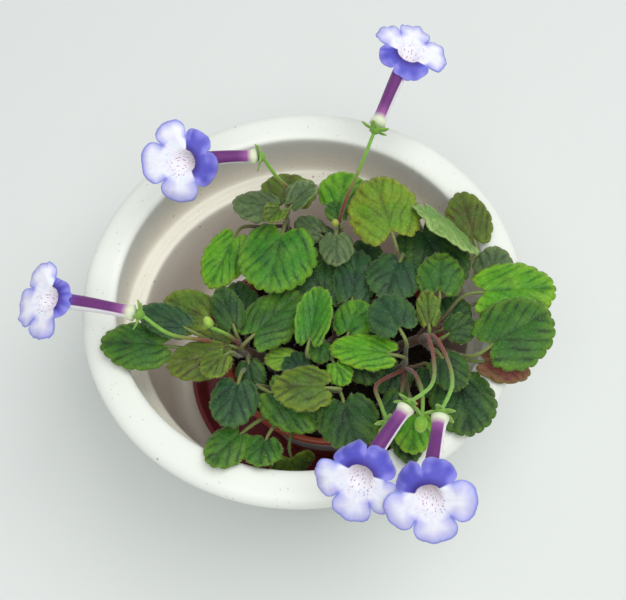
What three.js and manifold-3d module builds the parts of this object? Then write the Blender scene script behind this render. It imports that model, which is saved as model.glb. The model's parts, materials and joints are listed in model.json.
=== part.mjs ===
// A miniature sinningia in bloom, in a terracotta-coloured pot on a saucer, in a wide white planter.
// Millimetres, +Z up. The origin is the middle of the planter's flat base, on the table.
// The plant's own places are measured from the level of the planter's rim, so its heights are small numbers.
import * as THREE from "three";
import { mergeVertices } from "three/addons/utils/BufferGeometryUtils.js";
import Module from "manifold-3d";

const wasm = await Module();
wasm.setup();

// Driving dimensions
const clearance = 0.3; // between pieces that rest on or in each other
const roundSides = 40; // flat sides of the planter
const innerSides = 28; // and of the pieces inside it

const rimHeight = 70; // the planter's widest circle, above the table
const rimRadius = 75;
const rimMouth = 62.7; // inner edge of the wide rounded rim
const shelfDepth = 19.6; // below the rim's widest circle
const shelfInner = 57.2;
const wellFloor = 8; // above the table
const wellRadius = 52;
const footRadius = 50;

const saucerPlace = [3, -3];
const saucerRadius = 47;
const saucerHeight = 11.5;
const saucerFloor = 2.6;

const potPlace = [9, -9];
const potRadius = 38.5; // outside of the pot's rim
const potRimBand = 2.6; // height of that rim, a narrow roll
const potTop = rimHeight - 18;
const potFoot = 28;
const potWall = 1.4;

const soilTop = rimHeight - 22;
const holeDepth = 8;
const stemRadius = 2.1;

const labelWidth = 21;
const labelHeight = 14;
const labelThickness = 0.8;
const labelBearing = -107; // degrees round the pot from +X

const bladeThickness = 0.8;
const leafStalkRadius = 0.9;
const leafStalkSink = 0.8; // of the stalk's axis below the middle of the blade
const leafTeeth = 9; // round teeth along the margin of a leaf
const smallTeeth = 7; // and of one narrower than smallWidth
const smallWidth = 15;

// Geometry helpers

const vector = (place) => new THREE.Vector3(...place);
const radians = THREE.MathUtils.degToRad;

function toSolid(geometry) {
  const bare = geometry.index ? geometry.toNonIndexed() : geometry.clone();
  bare.deleteAttribute("normal");
  bare.deleteAttribute("uv");
  const merged = mergeVertices(bare, 1e-4);
  return new wasm.Manifold(
    new wasm.Mesh({
      numProp: 3,
      vertProperties: merged.attributes.position.array,
      triVerts: new Uint32Array(merged.index.array),
    }),
  );
}

function toGeometry(solid) {
  const mesh = solid.getMesh();
  const geometry = new THREE.BufferGeometry();
  geometry.setAttribute("position", new THREE.BufferAttribute(mesh.vertProperties, 3));
  geometry.setIndex(new THREE.BufferAttribute(mesh.triVerts, 1));
  geometry.computeVertexNormals();
  return geometry;
}

const fuse = (geometries) => toGeometry(geometries.map(toSolid).reduce((a, b) => a.add(b)));

// A turned piece from its outline of [radius, height] points, which closes on itself or on the axis.
function turned(outline, sides = innerSides) {
  const profile = outline.map(([radius, height]) => new THREE.Vector2(radius, height));
  return new THREE.LatheGeometry(profile, sides).rotateX(Math.PI / 2);
}

// A round stalk of one thickness along a smooth curve.
function stalk(points, radius, sides = 4, steps = 4) {
  const section = new THREE.Shape();
  for (let i = 0; i < sides; i++) {
    const turn = (2 * Math.PI * i) / sides;
    section[i ? "lineTo" : "moveTo"](radius * Math.cos(turn), radius * Math.sin(turn));
  }
  const path = new THREE.CatmullRomCurve3(points, false, "centripetal");
  return new THREE.ExtrudeGeometry(section, { steps, extrudePath: path, bevelEnabled: false });
}

// The matrix that carries +X to the direction from one point to another, with +Z turned up and then rolled.
function along(from, to, roll = 0) {
  const x = to.clone().sub(from).normalize();
  const up = new THREE.Vector3(0, 0, 1).addScaledVector(x, -x.z);
  if (up.lengthSq() < 1e-6) up.set(1, 0, 0);
  up.normalize().applyAxisAngle(x, radians(roll));
  const y = up.clone().cross(x);
  return new THREE.Matrix4().makeBasis(x, y, up).setPosition(from);
}

// The matrix that carries a turned piece's axis, +Z, to a direction at a point.
function aimed(point, direction) {
  const turn = new THREE.Quaternion().setFromUnitVectors(new THREE.Vector3(0, 0, 1), direction);
  return new THREE.Matrix4().compose(point, turn, new THREE.Vector3(1, 1, 1));
}

// A thin blade from its flat outline: point 0 is the base, the point half way round is the tip, and
// lift gives the height of its middle surface. Both faces have the same triangles.
function blade(outline, spine, lift, thickness) {
  const count = outline.length;
  const tip = count / 2;
  const flat = [...outline, ...spine.map((x) => [x, 0])];
  const middle = [0, ...spine.map((_, i) => count + i), tip];
  const top = [];
  for (const side of [1, -1]) {
    const edge = Array.from({ length: tip + 1 }, (_, i) => (side * i + count) % count);
    let e = 0;
    let m = 0;
    while (e < tip || m < middle.length - 1) {
      const edgeNext = e < tip ? flat[edge[e + 1]][0] : Infinity;
      const middleNext = m < middle.length - 1 ? flat[middle[m + 1]][0] : Infinity;
      const stepEdge = edgeNext <= middleNext;
      const triangle = [edge[e], middle[m], stepEdge ? edge[e + 1] : middle[m + 1]];
      if (stepEdge) e++;
      else m++;
      if (new Set(triangle).size < 3) continue;
      if (side > 0) triangle.reverse();
      top.push(triangle.reverse());
    }
  }
  const bottom = top.map(([a, b, c]) => [a + flat.length, c + flat.length, b + flat.length]);
  const rim = outline.flatMap((_, i) => {
    const next = (i + 1) % count;
    return [
      [i + flat.length, i, next],
      [i + flat.length, next, next + flat.length],
    ];
  });
  const heights = [thickness / 2, -thickness / 2];
  const points = heights.flatMap((offset) => flat.flatMap(([x, y]) => [x, y, lift(x, y) + offset]));
  const geometry = new THREE.BufferGeometry();
  geometry.setAttribute("position", new THREE.Float32BufferAttribute(points, 3));
  geometry.setIndex([...top, ...bottom, ...rim].flat());
  return geometry;
}

// Planter, saucer, pot, label and soil

function planterBowl() {
  const shelf = rimHeight - shelfDepth;
  return turned([
    [0, 0],
    [footRadius, 0],
    [footRadius + 1.2, 1.2],
    [rimRadius - 7.5, rimHeight - 9],
    [rimRadius - 6, rimHeight - 7],
    [rimRadius - 1.6, rimHeight - 4.8],
    [rimRadius, rimHeight - 1.2],
    [rimRadius - 0.4, rimHeight + 0.8],
    [rimRadius - 3, rimHeight + 2.4],
    [rimMouth + 3, rimHeight + 2.8],
    [rimMouth + 0.6, rimHeight + 2],
    [rimMouth, rimHeight + 0.6],
    [rimMouth + 1.2, shelf + 1.2],
    [rimMouth + 0.4, shelf],
    [shelfInner + 0.8, shelf - 0.2],
    [shelfInner, shelf - 1],
    [wellRadius + 0.6, wellFloor + 4],
    [wellRadius - 2.5, wellFloor],
    [0, wellFloor],
  ], roundSides);
}

const saucerBottom = wellFloor + clearance;

function potSaucer() {
  const top = saucerBottom + saucerHeight;
  return turned([
    [0, saucerBottom],
    [saucerRadius - 4.5, saucerBottom],
    [saucerRadius - 2.2, saucerBottom + 1],
    [saucerRadius - 0.3, top - 1.4],
    [saucerRadius, top],
    [saucerRadius - 1.8, top],
    [saucerRadius - 2.4, top - 1.6],
    [saucerRadius - 4.4, saucerBottom + saucerFloor + 0.8],
    [saucerRadius - 5.6, saucerBottom + saucerFloor],
    [0, saucerBottom + saucerFloor],
  ]).translate(...saucerPlace, 0);
}

const potBottom = saucerBottom + saucerFloor + clearance;
const underRim = potTop - potRimBand;
const wallRadius = (height) =>
  THREE.MathUtils.mapLinear(height, potBottom, underRim, potFoot, potRadius - 1.3);

function nurseryPot() {
  const inner = (height) => wallRadius(height) - potWall;
  return turned([
    [0, potBottom],
    [potFoot - 0.8, potBottom],
    [wallRadius(potBottom + 1), potBottom + 1],
    [wallRadius(underRim), underRim],
    [potRadius, underRim + 0.3],
    [potRadius, potTop - 0.7],
    [potRadius - 0.6, potTop],
    [potRadius - 1.9, potTop],
    [inner(underRim), underRim],
    [inner(potBottom + potWall), potBottom + potWall],
    [0, potBottom + potWall],
  ]).translate(...potPlace, 0);
}

// The label lies on the pot's sloping side just under its rim: a sector cut from a thin cone.
function plantLabel() {
  const top = underRim - clearance;
  const foot = top - labelHeight;
  const skin = (height, depth) => [wallRadius(height) + clearance + depth, height];
  const cone = turned([
    skin(foot, 0),
    skin(foot, labelThickness),
    skin(top, labelThickness),
    skin(top, 0),
    skin(foot, 0),
  ]);
  const wedge = new THREE.BoxGeometry(2 * potRadius, labelWidth, 2 * rimHeight)
    .translate(potRadius, 0, 0)
    .rotateZ(radians(labelBearing));
  const cut = toSolid(cone).intersect(toSolid(wedge));
  return toGeometry(cut).translate(...potPlace, 0);
}

function pottingSoil(roots) {
  const bottom = potBottom + potWall + clearance;
  const inner = (height) => wallRadius(height) - potWall - clearance;
  const body = turned([
    [0, bottom],
    [inner(bottom), bottom],
    [inner(soilTop - 1), soilTop - 1],
    [inner(soilTop) - 4, soilTop - 0.2],
    [inner(soilTop) - 14, soilTop + 0.5],
    [0, soilTop],
  ]).translate(...potPlace, 0);
  const hole = (root) =>
    new THREE.CylinderGeometry(stemRadius + 0.8, stemRadius + 0.8, 2 * holeDepth, 8)
      .rotateX(Math.PI / 2)
      .translate(...root, soilTop);
  return toGeometry(roots.map(hole).reduce((soil, cut) => soil.subtract(toSolid(cut)), toSolid(body)));
}

// Leaves

// The flat outline of a leaf one unit long and one wide: round, widest below the middle, with a notch at
// the stalk and round teeth all along the margin.
function leafOutline(teeth) {
  return Array.from({ length: 2 * teeth }, (_, i) => {
    const turn = (Math.PI * i) / teeth;
    const reach = i % 2 ? 1.02 : 0.94;
    const x = 0.5 - 0.5 * reach * Math.cos(turn);
    const y = 0.5 * reach * Math.sin(turn) * (1.1 - 0.2 * x);
    return [i ? x : 0.1, y];
  });
}

// A leaf from where its stalk joins to its tip. Its margin hangs a little lower than its midrib, or
// stands higher where sides is positive, and the whole blade arches by arch.
function leafBlade({ base, tip, width, roll = 0, arch = 1.2, sides = -0.12 }) {
  const length = base.distanceTo(tip);
  const teeth = width < smallWidth ? smallTeeth : leafTeeth;
  const outline = leafOutline(teeth).map(([x, y]) => [x * length, y * width]);
  const spine = [0.38, 0.7].map((x) => x * length);
  const lift = (x, y) => {
    const bow = 4 * arch * (x / length) * (1 - x / length);
    const droop = sides * width * Math.pow((2 * y) / width, 2);
    return bow + droop;
  };
  return blade(outline, spine, lift, bladeThickness).applyMatrix4(along(base, tip, roll));
}

// The leaf stalk leaves the side of the crown, swings out low and comes up under the blade, and its end is
// sunk in the blade's underside. Each leaf of a stem leaves it a little lower than the one before.
function leafStalk(crown, stemRun, { base, tip, roll = 0, arch = 1.2 }, order) {
  const place = along(base, tip, roll);
  const length = base.distanceTo(tip);
  const seat = new THREE.Vector3(0.26 * length, 0, arch * 0.75 - leafStalkSink).applyMatrix4(place);
  const turn = new THREE.Vector3(-0.08 * length, 0, -1.8).applyMatrix4(place);
  const out = turn.clone().sub(crown).setZ(0).normalize();
  const foot = crown.clone().addScaledVector(out, 0.4 * stemRadius);
  foot.addScaledVector(stemRun, -0.6 - 1.1 * (order % 4));
  const half = foot.clone().lerp(turn, 0.5);
  half.z = Math.min(foot.z, turn.z) + Math.abs(foot.z - turn.z) * 0.35;
  return stalk([foot, half, turn, seat], leafStalkRadius, 4, 3);
}

// Flower stalks, calyxes, buds and the spent flower

function calyx(point, direction) {
  const receptacle = turned([[0, -1.6], [2.2, -0.3], [2.2, 0.5], [0, 0.5]], 6);
  const sepals = Array.from({ length: 5 }, (_, i) => {
    const turn = (2 * Math.PI * (i + 0.25)) / 5;
    const out = new THREE.Vector3(Math.cos(turn), Math.sin(turn), 0);
    const root = out.clone().multiplyScalar(1.7).setZ(-0.1);
    const tip = out.clone().multiplyScalar(6).setZ(1.2);
    const shape = [[0, 0], [1.6, 0.9], [4.6, 0], [1.6, -0.9]];
    return blade(shape, [], () => 0, 0.7).applyMatrix4(along(root, tip));
  });
  return [receptacle, ...sepals].map((g) => g.applyMatrix4(aimed(point, direction)));
}

const flowerStalk = (points) => stalk(points.map(vector), 0.8, 4, 2 * points.length - 2);

function bud(place, direction, length, radius) {
  const outline = [[0, -0.4], [0.7, 0], [1, 0.35], [0.85, 0.65], [0.4, 0.92], [0, 1]];
  return turned(outline.map(([r, z]) => [r * radius, z * length]), 7).applyMatrix4(
    aimed(vector(place), vector(direction).normalize()),
  );
}

// Blooms: a bloom has the middle of its calyx, the middle of its mouth, the way that its face looks, and
// the bearings of its five lobes, in degrees round the mouth from the side that lies nearest the tube.

const blooms = {
  bloom_back: {
    calyx: [30.5, 41, 34],
    mouth: [44.5, 66, 39],
    facing: [0.3, 0.1, 0.93],
    lobes: [30, 122, 185, 236, 285],
  },
  bloom_back_left: {
    calyx: [-8.5, 38, 30],
    mouth: [-32.5, 37, 34],
    facing: [-0.2, -0.55, 0.8],
    lobes: [70, 110, 182, 254, 328],
  },
  bloom_left: {
    calyx: [-52.5, -11, 21],
    mouth: [-80, -2, 22.5],
    facing: [-0.54, -0.07, 0.84],
    lobes: [90, 126, 208, 261, 335],
  },
  bloom_front_left: {
    calyx: [28, -57, 32],
    mouth: [11, -78, 35],
    facing: [-0.3, -0.65, 0.68],
    lobes: [75, 135, 205, 258, 332],
  },
  bloom_front_right: {
    calyx: [37, -61, 32],
    mouth: [29, -87.5, 38.6],
    facing: [-0.2, -0.69, 0.69],
    lobes: [67, 134, 199, 268, 344],
  },
};

const tubeDirection = (bloom) => vector(bloom.mouth).sub(vector(bloom.calyx)).normalize();

const limbRadius = 6.4; // where the five lobes part from each other
const throatDepth = 3.4;
const petalThickness = 0.7;

// How far each lobe reaches and how far it leans forward, from one of the two next to the tube round to the
// other. Those two lean back over the tube.
const lobeForms = [
  { reach: 9.8, lean: -58 },
  { reach: 14.2, lean: -6 },
  { reach: 15.6, lean: 4 },
  { reach: 14.2, lean: -6 },
  { reach: 9.8, lean: -58 },
];

// The margin of each lobe from the notch before it: share of the way from its middle to the notch on that
// side, and share of its reach.
const lobeMargin = [
  [-1, 0],
  [-0.94, 0.5],
  [-0.7, 0.9],
  [-0.22, 1],
  [0.22, 1],
  [0.7, 0.9],
  [0.94, 0.5],
];

// The face of the bloom: a shallow funnel that opens into five round lobes.
function limb(bearings) {
  const polar = (turn, radius, lift) => [
    radius * Math.cos(radians(turn)),
    radius * Math.sin(radians(turn)),
    lift,
  ];
  const wrapped = [bearings.at(-1) - 360, ...bearings, bearings[0] + 360];
  const lobes = lobeForms.map(({ reach, lean }, i) => {
    const [before, turn, after] = wrapped.slice(i, i + 3);
    return { turn, reach, lean, halves: [(turn - before) / 2, (after - turn) / 2] };
  });
  const outer = lobes.flatMap(({ turn, reach, lean, halves }) =>
    lobeMargin.map(([from, share]) => {
      const radius = THREE.MathUtils.lerp(limbRadius, reach, share);
      const bearing = turn + from * halves[from < 0 ? 0 : 1];
      return polar(bearing, radius, (radius - limbRadius) * Math.tan(radians(lean)));
    }),
  );
  const inner = lobes.flatMap(({ turn, halves }) => [
    polar(turn - halves[0], limbRadius - 1.6, -0.7),
    polar(turn, limbRadius - 0.6, -0.3),
  ]);
  const flat = [...outer, ...inner, [0, 0, -throatDepth]];
  const perLobe = lobeMargin.length;
  const centre = flat.length - 1;
  const top = lobes.flatMap((_, lobe) => {
    const edge = Array.from({ length: perLobe + 1 }, (_, i) => (lobe * perLobe + i) % outer.length);
    const [notch, middle, next] = [0, 1, 2].map((i) => outer.length + ((2 * lobe + i) % inner.length));
    const last = perLobe - 1;
    const fan = Array.from({ length: last - 1 }, (_, i) => [middle, edge[i + 1], edge[i + 2]]);
    return [
      [notch, edge[0], edge[1]],
      [notch, edge[1], middle],
      ...fan,
      [middle, edge[last], next],
      [next, edge[last], edge[perLobe]],
      [centre, notch, middle],
      [centre, middle, next],
    ];
  });
  const bottom = top.map(([a, b, c]) => [a + flat.length, c + flat.length, b + flat.length]);
  const rim = outer.flatMap((_, i) => {
    const next = (i + 1) % outer.length;
    return [
      [i, i + flat.length, next + flat.length],
      [i, next + flat.length, next],
    ];
  });
  const offsets = [petalThickness / 2, -petalThickness / 2];
  const points = offsets.flatMap((offset) => flat.flatMap(([x, y, z]) => [x, y, z + offset]));
  const geometry = new THREE.BufferGeometry();
  geometry.setAttribute("position", new THREE.Float32BufferAttribute(points, 3));
  geometry.setIndex([...top, ...bottom, ...rim].flat());
  return geometry;
}

function corolla(bloom) {
  const start = vector(bloom.calyx).addScaledVector(tubeDirection(bloom), 0.5 + clearance);
  const mouth = vector(bloom.mouth);
  const reach = start.distanceTo(mouth);
  const tube = turned(
    [
      [0, 0],
      [2, 0],
      [2.7, 1.8],
      [1.8, 4.6],
      [2, 0.55 * reach],
      [3, reach - throatDepth - 0.6],
      [1.6, reach - throatDepth + 1.4],
      [0, reach - throatDepth + 1.4],
    ],
    8,
  ).applyMatrix4(aimed(start, tubeDirection(bloom)));
  const face = vector(bloom.facing).normalize();
  const run = tubeDirection(bloom);
  const tubeSide = run.clone().negate().addScaledVector(face, run.dot(face)).normalize();
  const place = new THREE.Matrix4().makeBasis(tubeSide, face.clone().cross(tubeSide), face);
  return fuse([tube, limb(bloom.lobes).applyMatrix4(place.setPosition(mouth))]);
}

// A leafy stem grows from a hole in the soil to its crown. Its leaves and all that grows green from the
// crown are fused to it.

function leafyStem({ root, crown, leaves, flowers = [], spent = [], buds = [] }) {
  const foot = soilTop - rimHeight - holeDepth + clearance;
  const top = vector(crown);
  const bend = new THREE.Vector3(...root, foot + holeDepth + 4);
  const stem = stalk([new THREE.Vector3(...root, foot), bend, top], stemRadius, 6, 4);
  const stemRun = top.clone().sub(bend).normalize();
  const start = top.clone().addScaledVector(stemRun, -1).toArray();
  const blades = leaves.flatMap(([bx, by, bz, tx, ty, tz, width, options = {}], order) => {
    const leaf = { base: vector([bx, by, bz]), tip: vector([tx, ty, tz]), width, ...options };
    return [leafBlade(leaf), leafStalk(top, stemRun, leaf, order)];
  });
  const stalks = flowers.flatMap(({ bloom, by }) => {
    const direction = tubeDirection(blooms[bloom]);
    const seat = vector(blooms[bloom].calyx);
    const end = seat.clone().addScaledVector(direction, -0.8);
    return [flowerStalk([start, ...by, end.toArray()]), ...calyx(seat, direction)];
  });
  const bare = spent.flatMap(({ at, looks, by }) => [
    flowerStalk([start, ...by, at]),
    ...calyx(vector(at), vector(looks).normalize()),
  ]);
  const unopened = buds.flatMap(({ at, looks, by, length, radius }) => [
    flowerStalk([start, ...by, at]),
    bud(at, looks, length, radius),
  ]);
  return fuse([stem, ...blades, ...stalks, ...bare, ...unopened]);
}

// Each leaf: where its stalk joins the blade, its tip, and its width.
const stems = {
  leafy_stem_back_left: {
    root: [2, 12],
    crown: [-3, 29, 2],
    leaves: [
      [-2, 29, 10, 1, 42, 12, 20, { sides: -0.06 }],
      [-1, 27, 14, 9, 33, 18, 9, { sides: 0.2 }],
      [-4, 28, 12, -20, 33, 12, 13],
      [-3, 26, 16, -9, 21, 16, 8, { sides: 0.1 }],
      [-3, 24, 9, -11, -2, 9, 27],
      [-19, 27, 3, -31, 7, 0, 16],
    ],
    flowers: [{ bloom: "bloom_back_left", by: [[0, 33, 15], [-4, 35, 22]] }],
  },
  leafy_stem_left: {
    root: [-13, -15],
    crown: [-21, -16, -4],
    leaves: [
      [-30, -8, 4, -46, 3, 4, 17],
      [-23, -13, 6, -27, 3, 8, 11],
      [-37, -13, 10, -54, -3, 10, 12],
      [-43, -16, 6, -68, -12, 6, 18],
      [-26, -22, 8, -46, -25, 9, 15],
      [-26, -23, 11, -34, -31, 12, 10],
      [-23, -31, 8, -28, -48, 8, 16],
      [-20, -17, 5, 0, -1, 4, 19],
      [-20, -12, 0, -22, 10, -2, 15],
      [-20, -21, 0, -19, -33, -3, 10],
      [-24, -17, 3, -36, -13, 4, 11],
    ],
    flowers: [{ bloom: "bloom_left", by: [[-33, -17, 9], [-44, -16, 15]] }],
    buds: [{ at: [-30.5, -14, 12], looks: [-0.3, 0.6, 0.7], by: [[-26, -15, 8]], length: 4, radius: 1.6 }],
  },
  leafy_stem_back: {
    root: [12, 11],
    crown: [14, 21, 0],
    leaves: [
      [14, 18, 10, 13, 5, 9, 12],
      [16, 28, 8, 21, 42, 9, 18],
      [16, 22, 9, 14, 31, 9, 8],
      [15, 14, -2, 12, -2, -5, 8],
      [10, 20, 4, 1, 28, 4, 10],
      [13, 17, -2, 7, 28, -3, 12],
      [20, 9, -1, 27, 19, -1, 14],
    ],
    flowers: [{ bloom: "bloom_back", by: [[18, 25, 16], [24, 32, 25]] }],
    buds: [{ at: [14, 19, 12.5], looks: [0, 0, 1], by: [[14.5, 20.5, 8]], length: 2.6, radius: 1.3 }],
  },
  leafy_stem_back_right: {
    root: [26, 2],
    crown: [34, 8, 0],
    leaves: [
      [33, 9, 14, 29, 35, 15, 25],
      [43, 24, 13, 60, 2, 11, 17, { roll: -48 }],
      [42, 22, 5, 51, -7, 4, 24],
      [60.5, 8, 6, 58.5, 30, 7, 16],
      [35, 7, 8, 27, -9, 8, 19],
    ],
  },
  leafy_stem_right: {
    root: [28, -17],
    crown: [38, -20, -1],
    leaves: [
      [56, -10, 8, 84, -12, 8, 23],
      [55, -33, 12, 79, -23, 14, 25],
      [54, -33, 5, 71, -39, 3, 12],
      [45, -25, 10, 55, -22, 11, 11],
      [42, -32, 11, 47, -45, 10, 13],
      [47, -36, 4, 48, -59, 5, 22],
      [40, -22, 10, 41, -9, 12, 8],
      [45, -11, 9, 48, 5, 11, 16],
      [63, -6, 4, 68, 8, 5, 14],
      [47, -17, 1.5, 53, -8, 1.5, 13],
    ],
    flowers: [
      { bloom: "bloom_front_left", by: [[39, -25, 10], [39, -37, 17], [36, -49, 25]] },
      { bloom: "bloom_front_right", by: [[41, -26, 11], [43, -37, 18], [42, -51, 27]] },
    ],
  },
  leafy_stem_front_right: {
    root: [24, -24],
    crown: [32, -30, -2],
    leaves: [
      [31, -25, 14, 25, -10, 13, 16],
      [29, -30, 9, 7, -24, 8, 13],
      [31, -48, 6, 29, -64, 8, 13],
      [28, -49, 3, 28, -66, 5, 11],
      [29, -38, 0, 24, -51, 0, 11],
      [31, -26, -5.5, 23, -37, -5.5, 13],
      [38.5, -30, -0.5, 40, -43, 0, 11],
    ],
    spent: [{ at: [22, -56, 16], looks: [0.2, -0.9, 0.3], by: [[20.5, -38, 4], [21, -47, 10]] }],
    buds: [
      {
        at: [32.5, -56.5, 19],
        looks: [-0.3, -0.9, 0.1],
        by: [[33.3, -37, 8], [34, -47, 15]],
        length: 5,
        radius: 2,
      },
    ],
  },
  leafy_stem_front: {
    root: [-2, -24],
    crown: [-4, -31, -7],
    leaves: [
      [7, -39, 10, -13, -37, 10, 16],
      [-16, -33, 3, 3, -48, 1, 18],
      [9, -40, 6, 12, -60, 6, 20],
      [-16, -50, 3, -20, -61, 5, 13],
      [-23, -47, 3, -35, -59, 6, 14],
      [-9.5, -50, -16.5, -9, -53, -29, 16],
      [-3, -22, -2, -15, -21, -2, 9],
      [-2, -29, -1, -7, -20, -1, 10],
    ],
  },
  leafy_stem_centre: {
    root: [8, -11],
    crown: [10, -15, -5],
    leaves: [
      [8, -28, 6, 11, -37, 5, 9],
      [5, -19, 3, 3, -27, 3, 9],
      [0, -23, 7, 7, -2, 10, 12, { sides: 0.2 }],
      [13, -20, 6, 20, -7, 6, 14],
      [16, -8, 4, 21, 13, 5, 15],
      [9, -8, 2, 2, 14, 3, 19],
      [17, -15, 0, 31, -8, 2, 13],
      [14, -20, -2, 22, -34, -2, 14],
    ],
  },
};

const roots = Object.values(stems).map((stem) => stem.root);

// The assembly

const potted = new THREE.Group();
const plant = new THREE.Group();
plant.position.z = rimHeight;
potted.add(plant);

function addPiece(group, name, geometry, color, roughness) {
  const material = new THREE.MeshStandardMaterial({ color, roughness, metalness: 0 });
  const mesh = new THREE.Mesh(geometry, material);
  mesh.name = name;
  group.add(mesh);
}

addPiece(potted, "planter_bowl", planterBowl(), 0xf1f1ea, 0.35);
addPiece(potted, "pot_saucer", potSaucer(), 0x5a2620, 0.4);
addPiece(potted, "nursery_pot", nurseryPot(), 0x9a4a34, 0.7);
addPiece(potted, "plant_label", plantLabel(), 0xc9c9cf, 0.5);
addPiece(potted, "potting_soil", pottingSoil(roots), 0x2a221c, 0.95);
for (const [name, stem] of Object.entries(stems)) {
  addPiece(plant, name, leafyStem(stem), 0x3f7a33, 0.6);
}
for (const [name, bloom] of Object.entries(blooms)) {
  addPiece(plant, name, corolla(bloom), 0xe9e9f4, 0.5);
}

export default potted;
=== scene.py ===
# %% [markdown]
# # A miniature sinningia in its pot
#
# A tiny flowering plant stands in a terracotta-coloured pot, the pot in a burgundy saucer, and all of it in
# a wide white planter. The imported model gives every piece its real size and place. This notebook gives each
# one its looks: quilted leaves with round teeth and fine hairs, violet and white blooms, speckled resin.

import json
import math
import random

import bmesh
import bpy
from mathutils import Matrix, Vector, noise

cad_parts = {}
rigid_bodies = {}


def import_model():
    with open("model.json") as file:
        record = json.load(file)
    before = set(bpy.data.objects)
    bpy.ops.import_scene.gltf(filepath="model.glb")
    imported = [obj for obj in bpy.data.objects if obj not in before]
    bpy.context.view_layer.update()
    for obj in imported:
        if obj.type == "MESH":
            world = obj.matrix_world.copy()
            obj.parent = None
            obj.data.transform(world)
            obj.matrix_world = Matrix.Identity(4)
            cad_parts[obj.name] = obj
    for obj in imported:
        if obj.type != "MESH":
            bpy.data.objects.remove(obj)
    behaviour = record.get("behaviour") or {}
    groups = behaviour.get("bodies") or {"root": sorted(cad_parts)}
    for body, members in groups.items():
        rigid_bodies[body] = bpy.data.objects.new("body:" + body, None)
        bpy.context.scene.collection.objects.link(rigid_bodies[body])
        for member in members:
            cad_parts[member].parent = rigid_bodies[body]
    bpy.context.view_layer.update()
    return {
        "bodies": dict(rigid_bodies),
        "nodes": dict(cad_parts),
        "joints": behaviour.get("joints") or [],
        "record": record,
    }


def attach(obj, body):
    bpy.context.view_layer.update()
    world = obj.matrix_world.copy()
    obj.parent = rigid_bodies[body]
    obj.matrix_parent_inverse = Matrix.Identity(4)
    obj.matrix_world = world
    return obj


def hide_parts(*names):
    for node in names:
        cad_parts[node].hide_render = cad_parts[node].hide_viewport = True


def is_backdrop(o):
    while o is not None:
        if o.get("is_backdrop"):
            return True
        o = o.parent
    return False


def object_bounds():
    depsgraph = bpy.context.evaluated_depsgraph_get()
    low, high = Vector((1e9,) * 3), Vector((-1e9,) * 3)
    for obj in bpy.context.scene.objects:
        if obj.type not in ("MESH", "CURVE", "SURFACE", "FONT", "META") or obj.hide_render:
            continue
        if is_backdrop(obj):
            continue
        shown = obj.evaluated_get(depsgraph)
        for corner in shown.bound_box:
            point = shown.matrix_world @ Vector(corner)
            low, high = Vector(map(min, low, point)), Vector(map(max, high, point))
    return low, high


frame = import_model()
print("nodes to dress:", len(frame["nodes"]))

# %% [markdown]
# ## Measures
#
# Blender works in metres. The pieces here are a few millimetres large, so they are modelled in millimetres
# and made metres when they become objects. The plant's heights count from the level of the planter's rim.

# %% Measures
MM = 0.001
RIM_HEIGHT = 70
UP = Vector((0, 0, 1))
ROOT_BODY = "root"


def srgb(red, green, blue):
    """A colour as it is seen on a screen, 0 to 255, as the linear values that the shaders work with."""

    def linear(value):
        value /= 255
        return value / 12.92 if value <= 0.04045 else ((value + 0.055) / 1.055) ** 2.4

    return (linear(red), linear(green), linear(blue), 1.0)


def smooth_step(value, low, high):
    """0 under low, 1 over high, and an easy slope between them."""
    share = min(max((value - low) / (high - low), 0), 1)
    return share * share * (3 - 2 * share)


def between(first, second, share):
    """The colour a share of the way from the first to the second."""
    return tuple(a + (b - a) * share for a, b in zip(first, second))


# %% [markdown]
# ## Camera, floor and light
#
# The picture is taken from above and a little in front, looking down 62 degrees. The floor is plain and pale.
# Two large soft lamps and a pale sky give soft, faint shadows, as in a light tent.

# %% Camera
CAMERA_AT = Vector((0, -0.20622, 0.45929))
LOOKS_DOWN = math.radians(62.31)
TURNED_RIGHT = math.radians(1.03)
ROLLED = math.radians(-5.58)

look = Vector(
    (
        math.sin(TURNED_RIGHT) * math.cos(LOOKS_DOWN),
        math.cos(TURNED_RIGHT) * math.cos(LOOKS_DOWN),
        -math.sin(LOOKS_DOWN),
    )
)
camera = bpy.data.objects.new("camera", bpy.data.cameras.new("camera"))
camera.data.lens = 74.76
camera.data.sensor_width = 36
camera.data.clip_start = 0.01
camera.matrix_world = (
    Matrix.Translation(CAMERA_AT)
    @ look.to_track_quat("-Z", "Y").to_matrix().to_4x4()
    @ Matrix.Rotation(ROLLED, 4, "Z")
)
bpy.context.collection.objects.link(camera)
bpy.context.scene.camera = camera
print("camera looks along", [round(x, 3) for x in look])

# %% Light
bpy.context.scene.view_settings.view_transform = "Standard"
sky = bpy.data.worlds.new("sky")
sky.use_nodes = True
background = sky.node_tree.nodes["Background"].inputs
background["Color"].default_value = srgb(240, 244, 246)
background["Strength"].default_value = 0.58
bpy.context.scene.world = sky
LAMPS_AIM_AT = Vector((0, 0, 0.05))


def soft_lamp(name, at, size, watts):
    lamp = bpy.data.objects.new(name, bpy.data.lights.new(name, "AREA"))
    lamp.data.shape = "DISK"
    lamp.data.size = size
    lamp.data.energy = watts
    lamp.location = at
    lamp.rotation_euler = (LAMPS_AIM_AT - Vector(at)).to_track_quat("-Z", "Y").to_euler()
    bpy.context.collection.objects.link(lamp)


soft_lamp("lamp_right", (0.45, 0.08, 1.1), 0.9, 5.4)
soft_lamp("lamp_front", (0, -0.5, 1.2), 1.0, 6.0)

# %% [markdown]
# ## Finishes from nodes
#
# Every material is a small net of nodes that ends in one shader. A Finish holds such a net. Each of its calls
# adds a node and joins it up, so that each finish below reads from top to bottom. Patterns lie on the piece
# itself, on its own coordinates or on numbers that its points carry, and stay there from every side.

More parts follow.
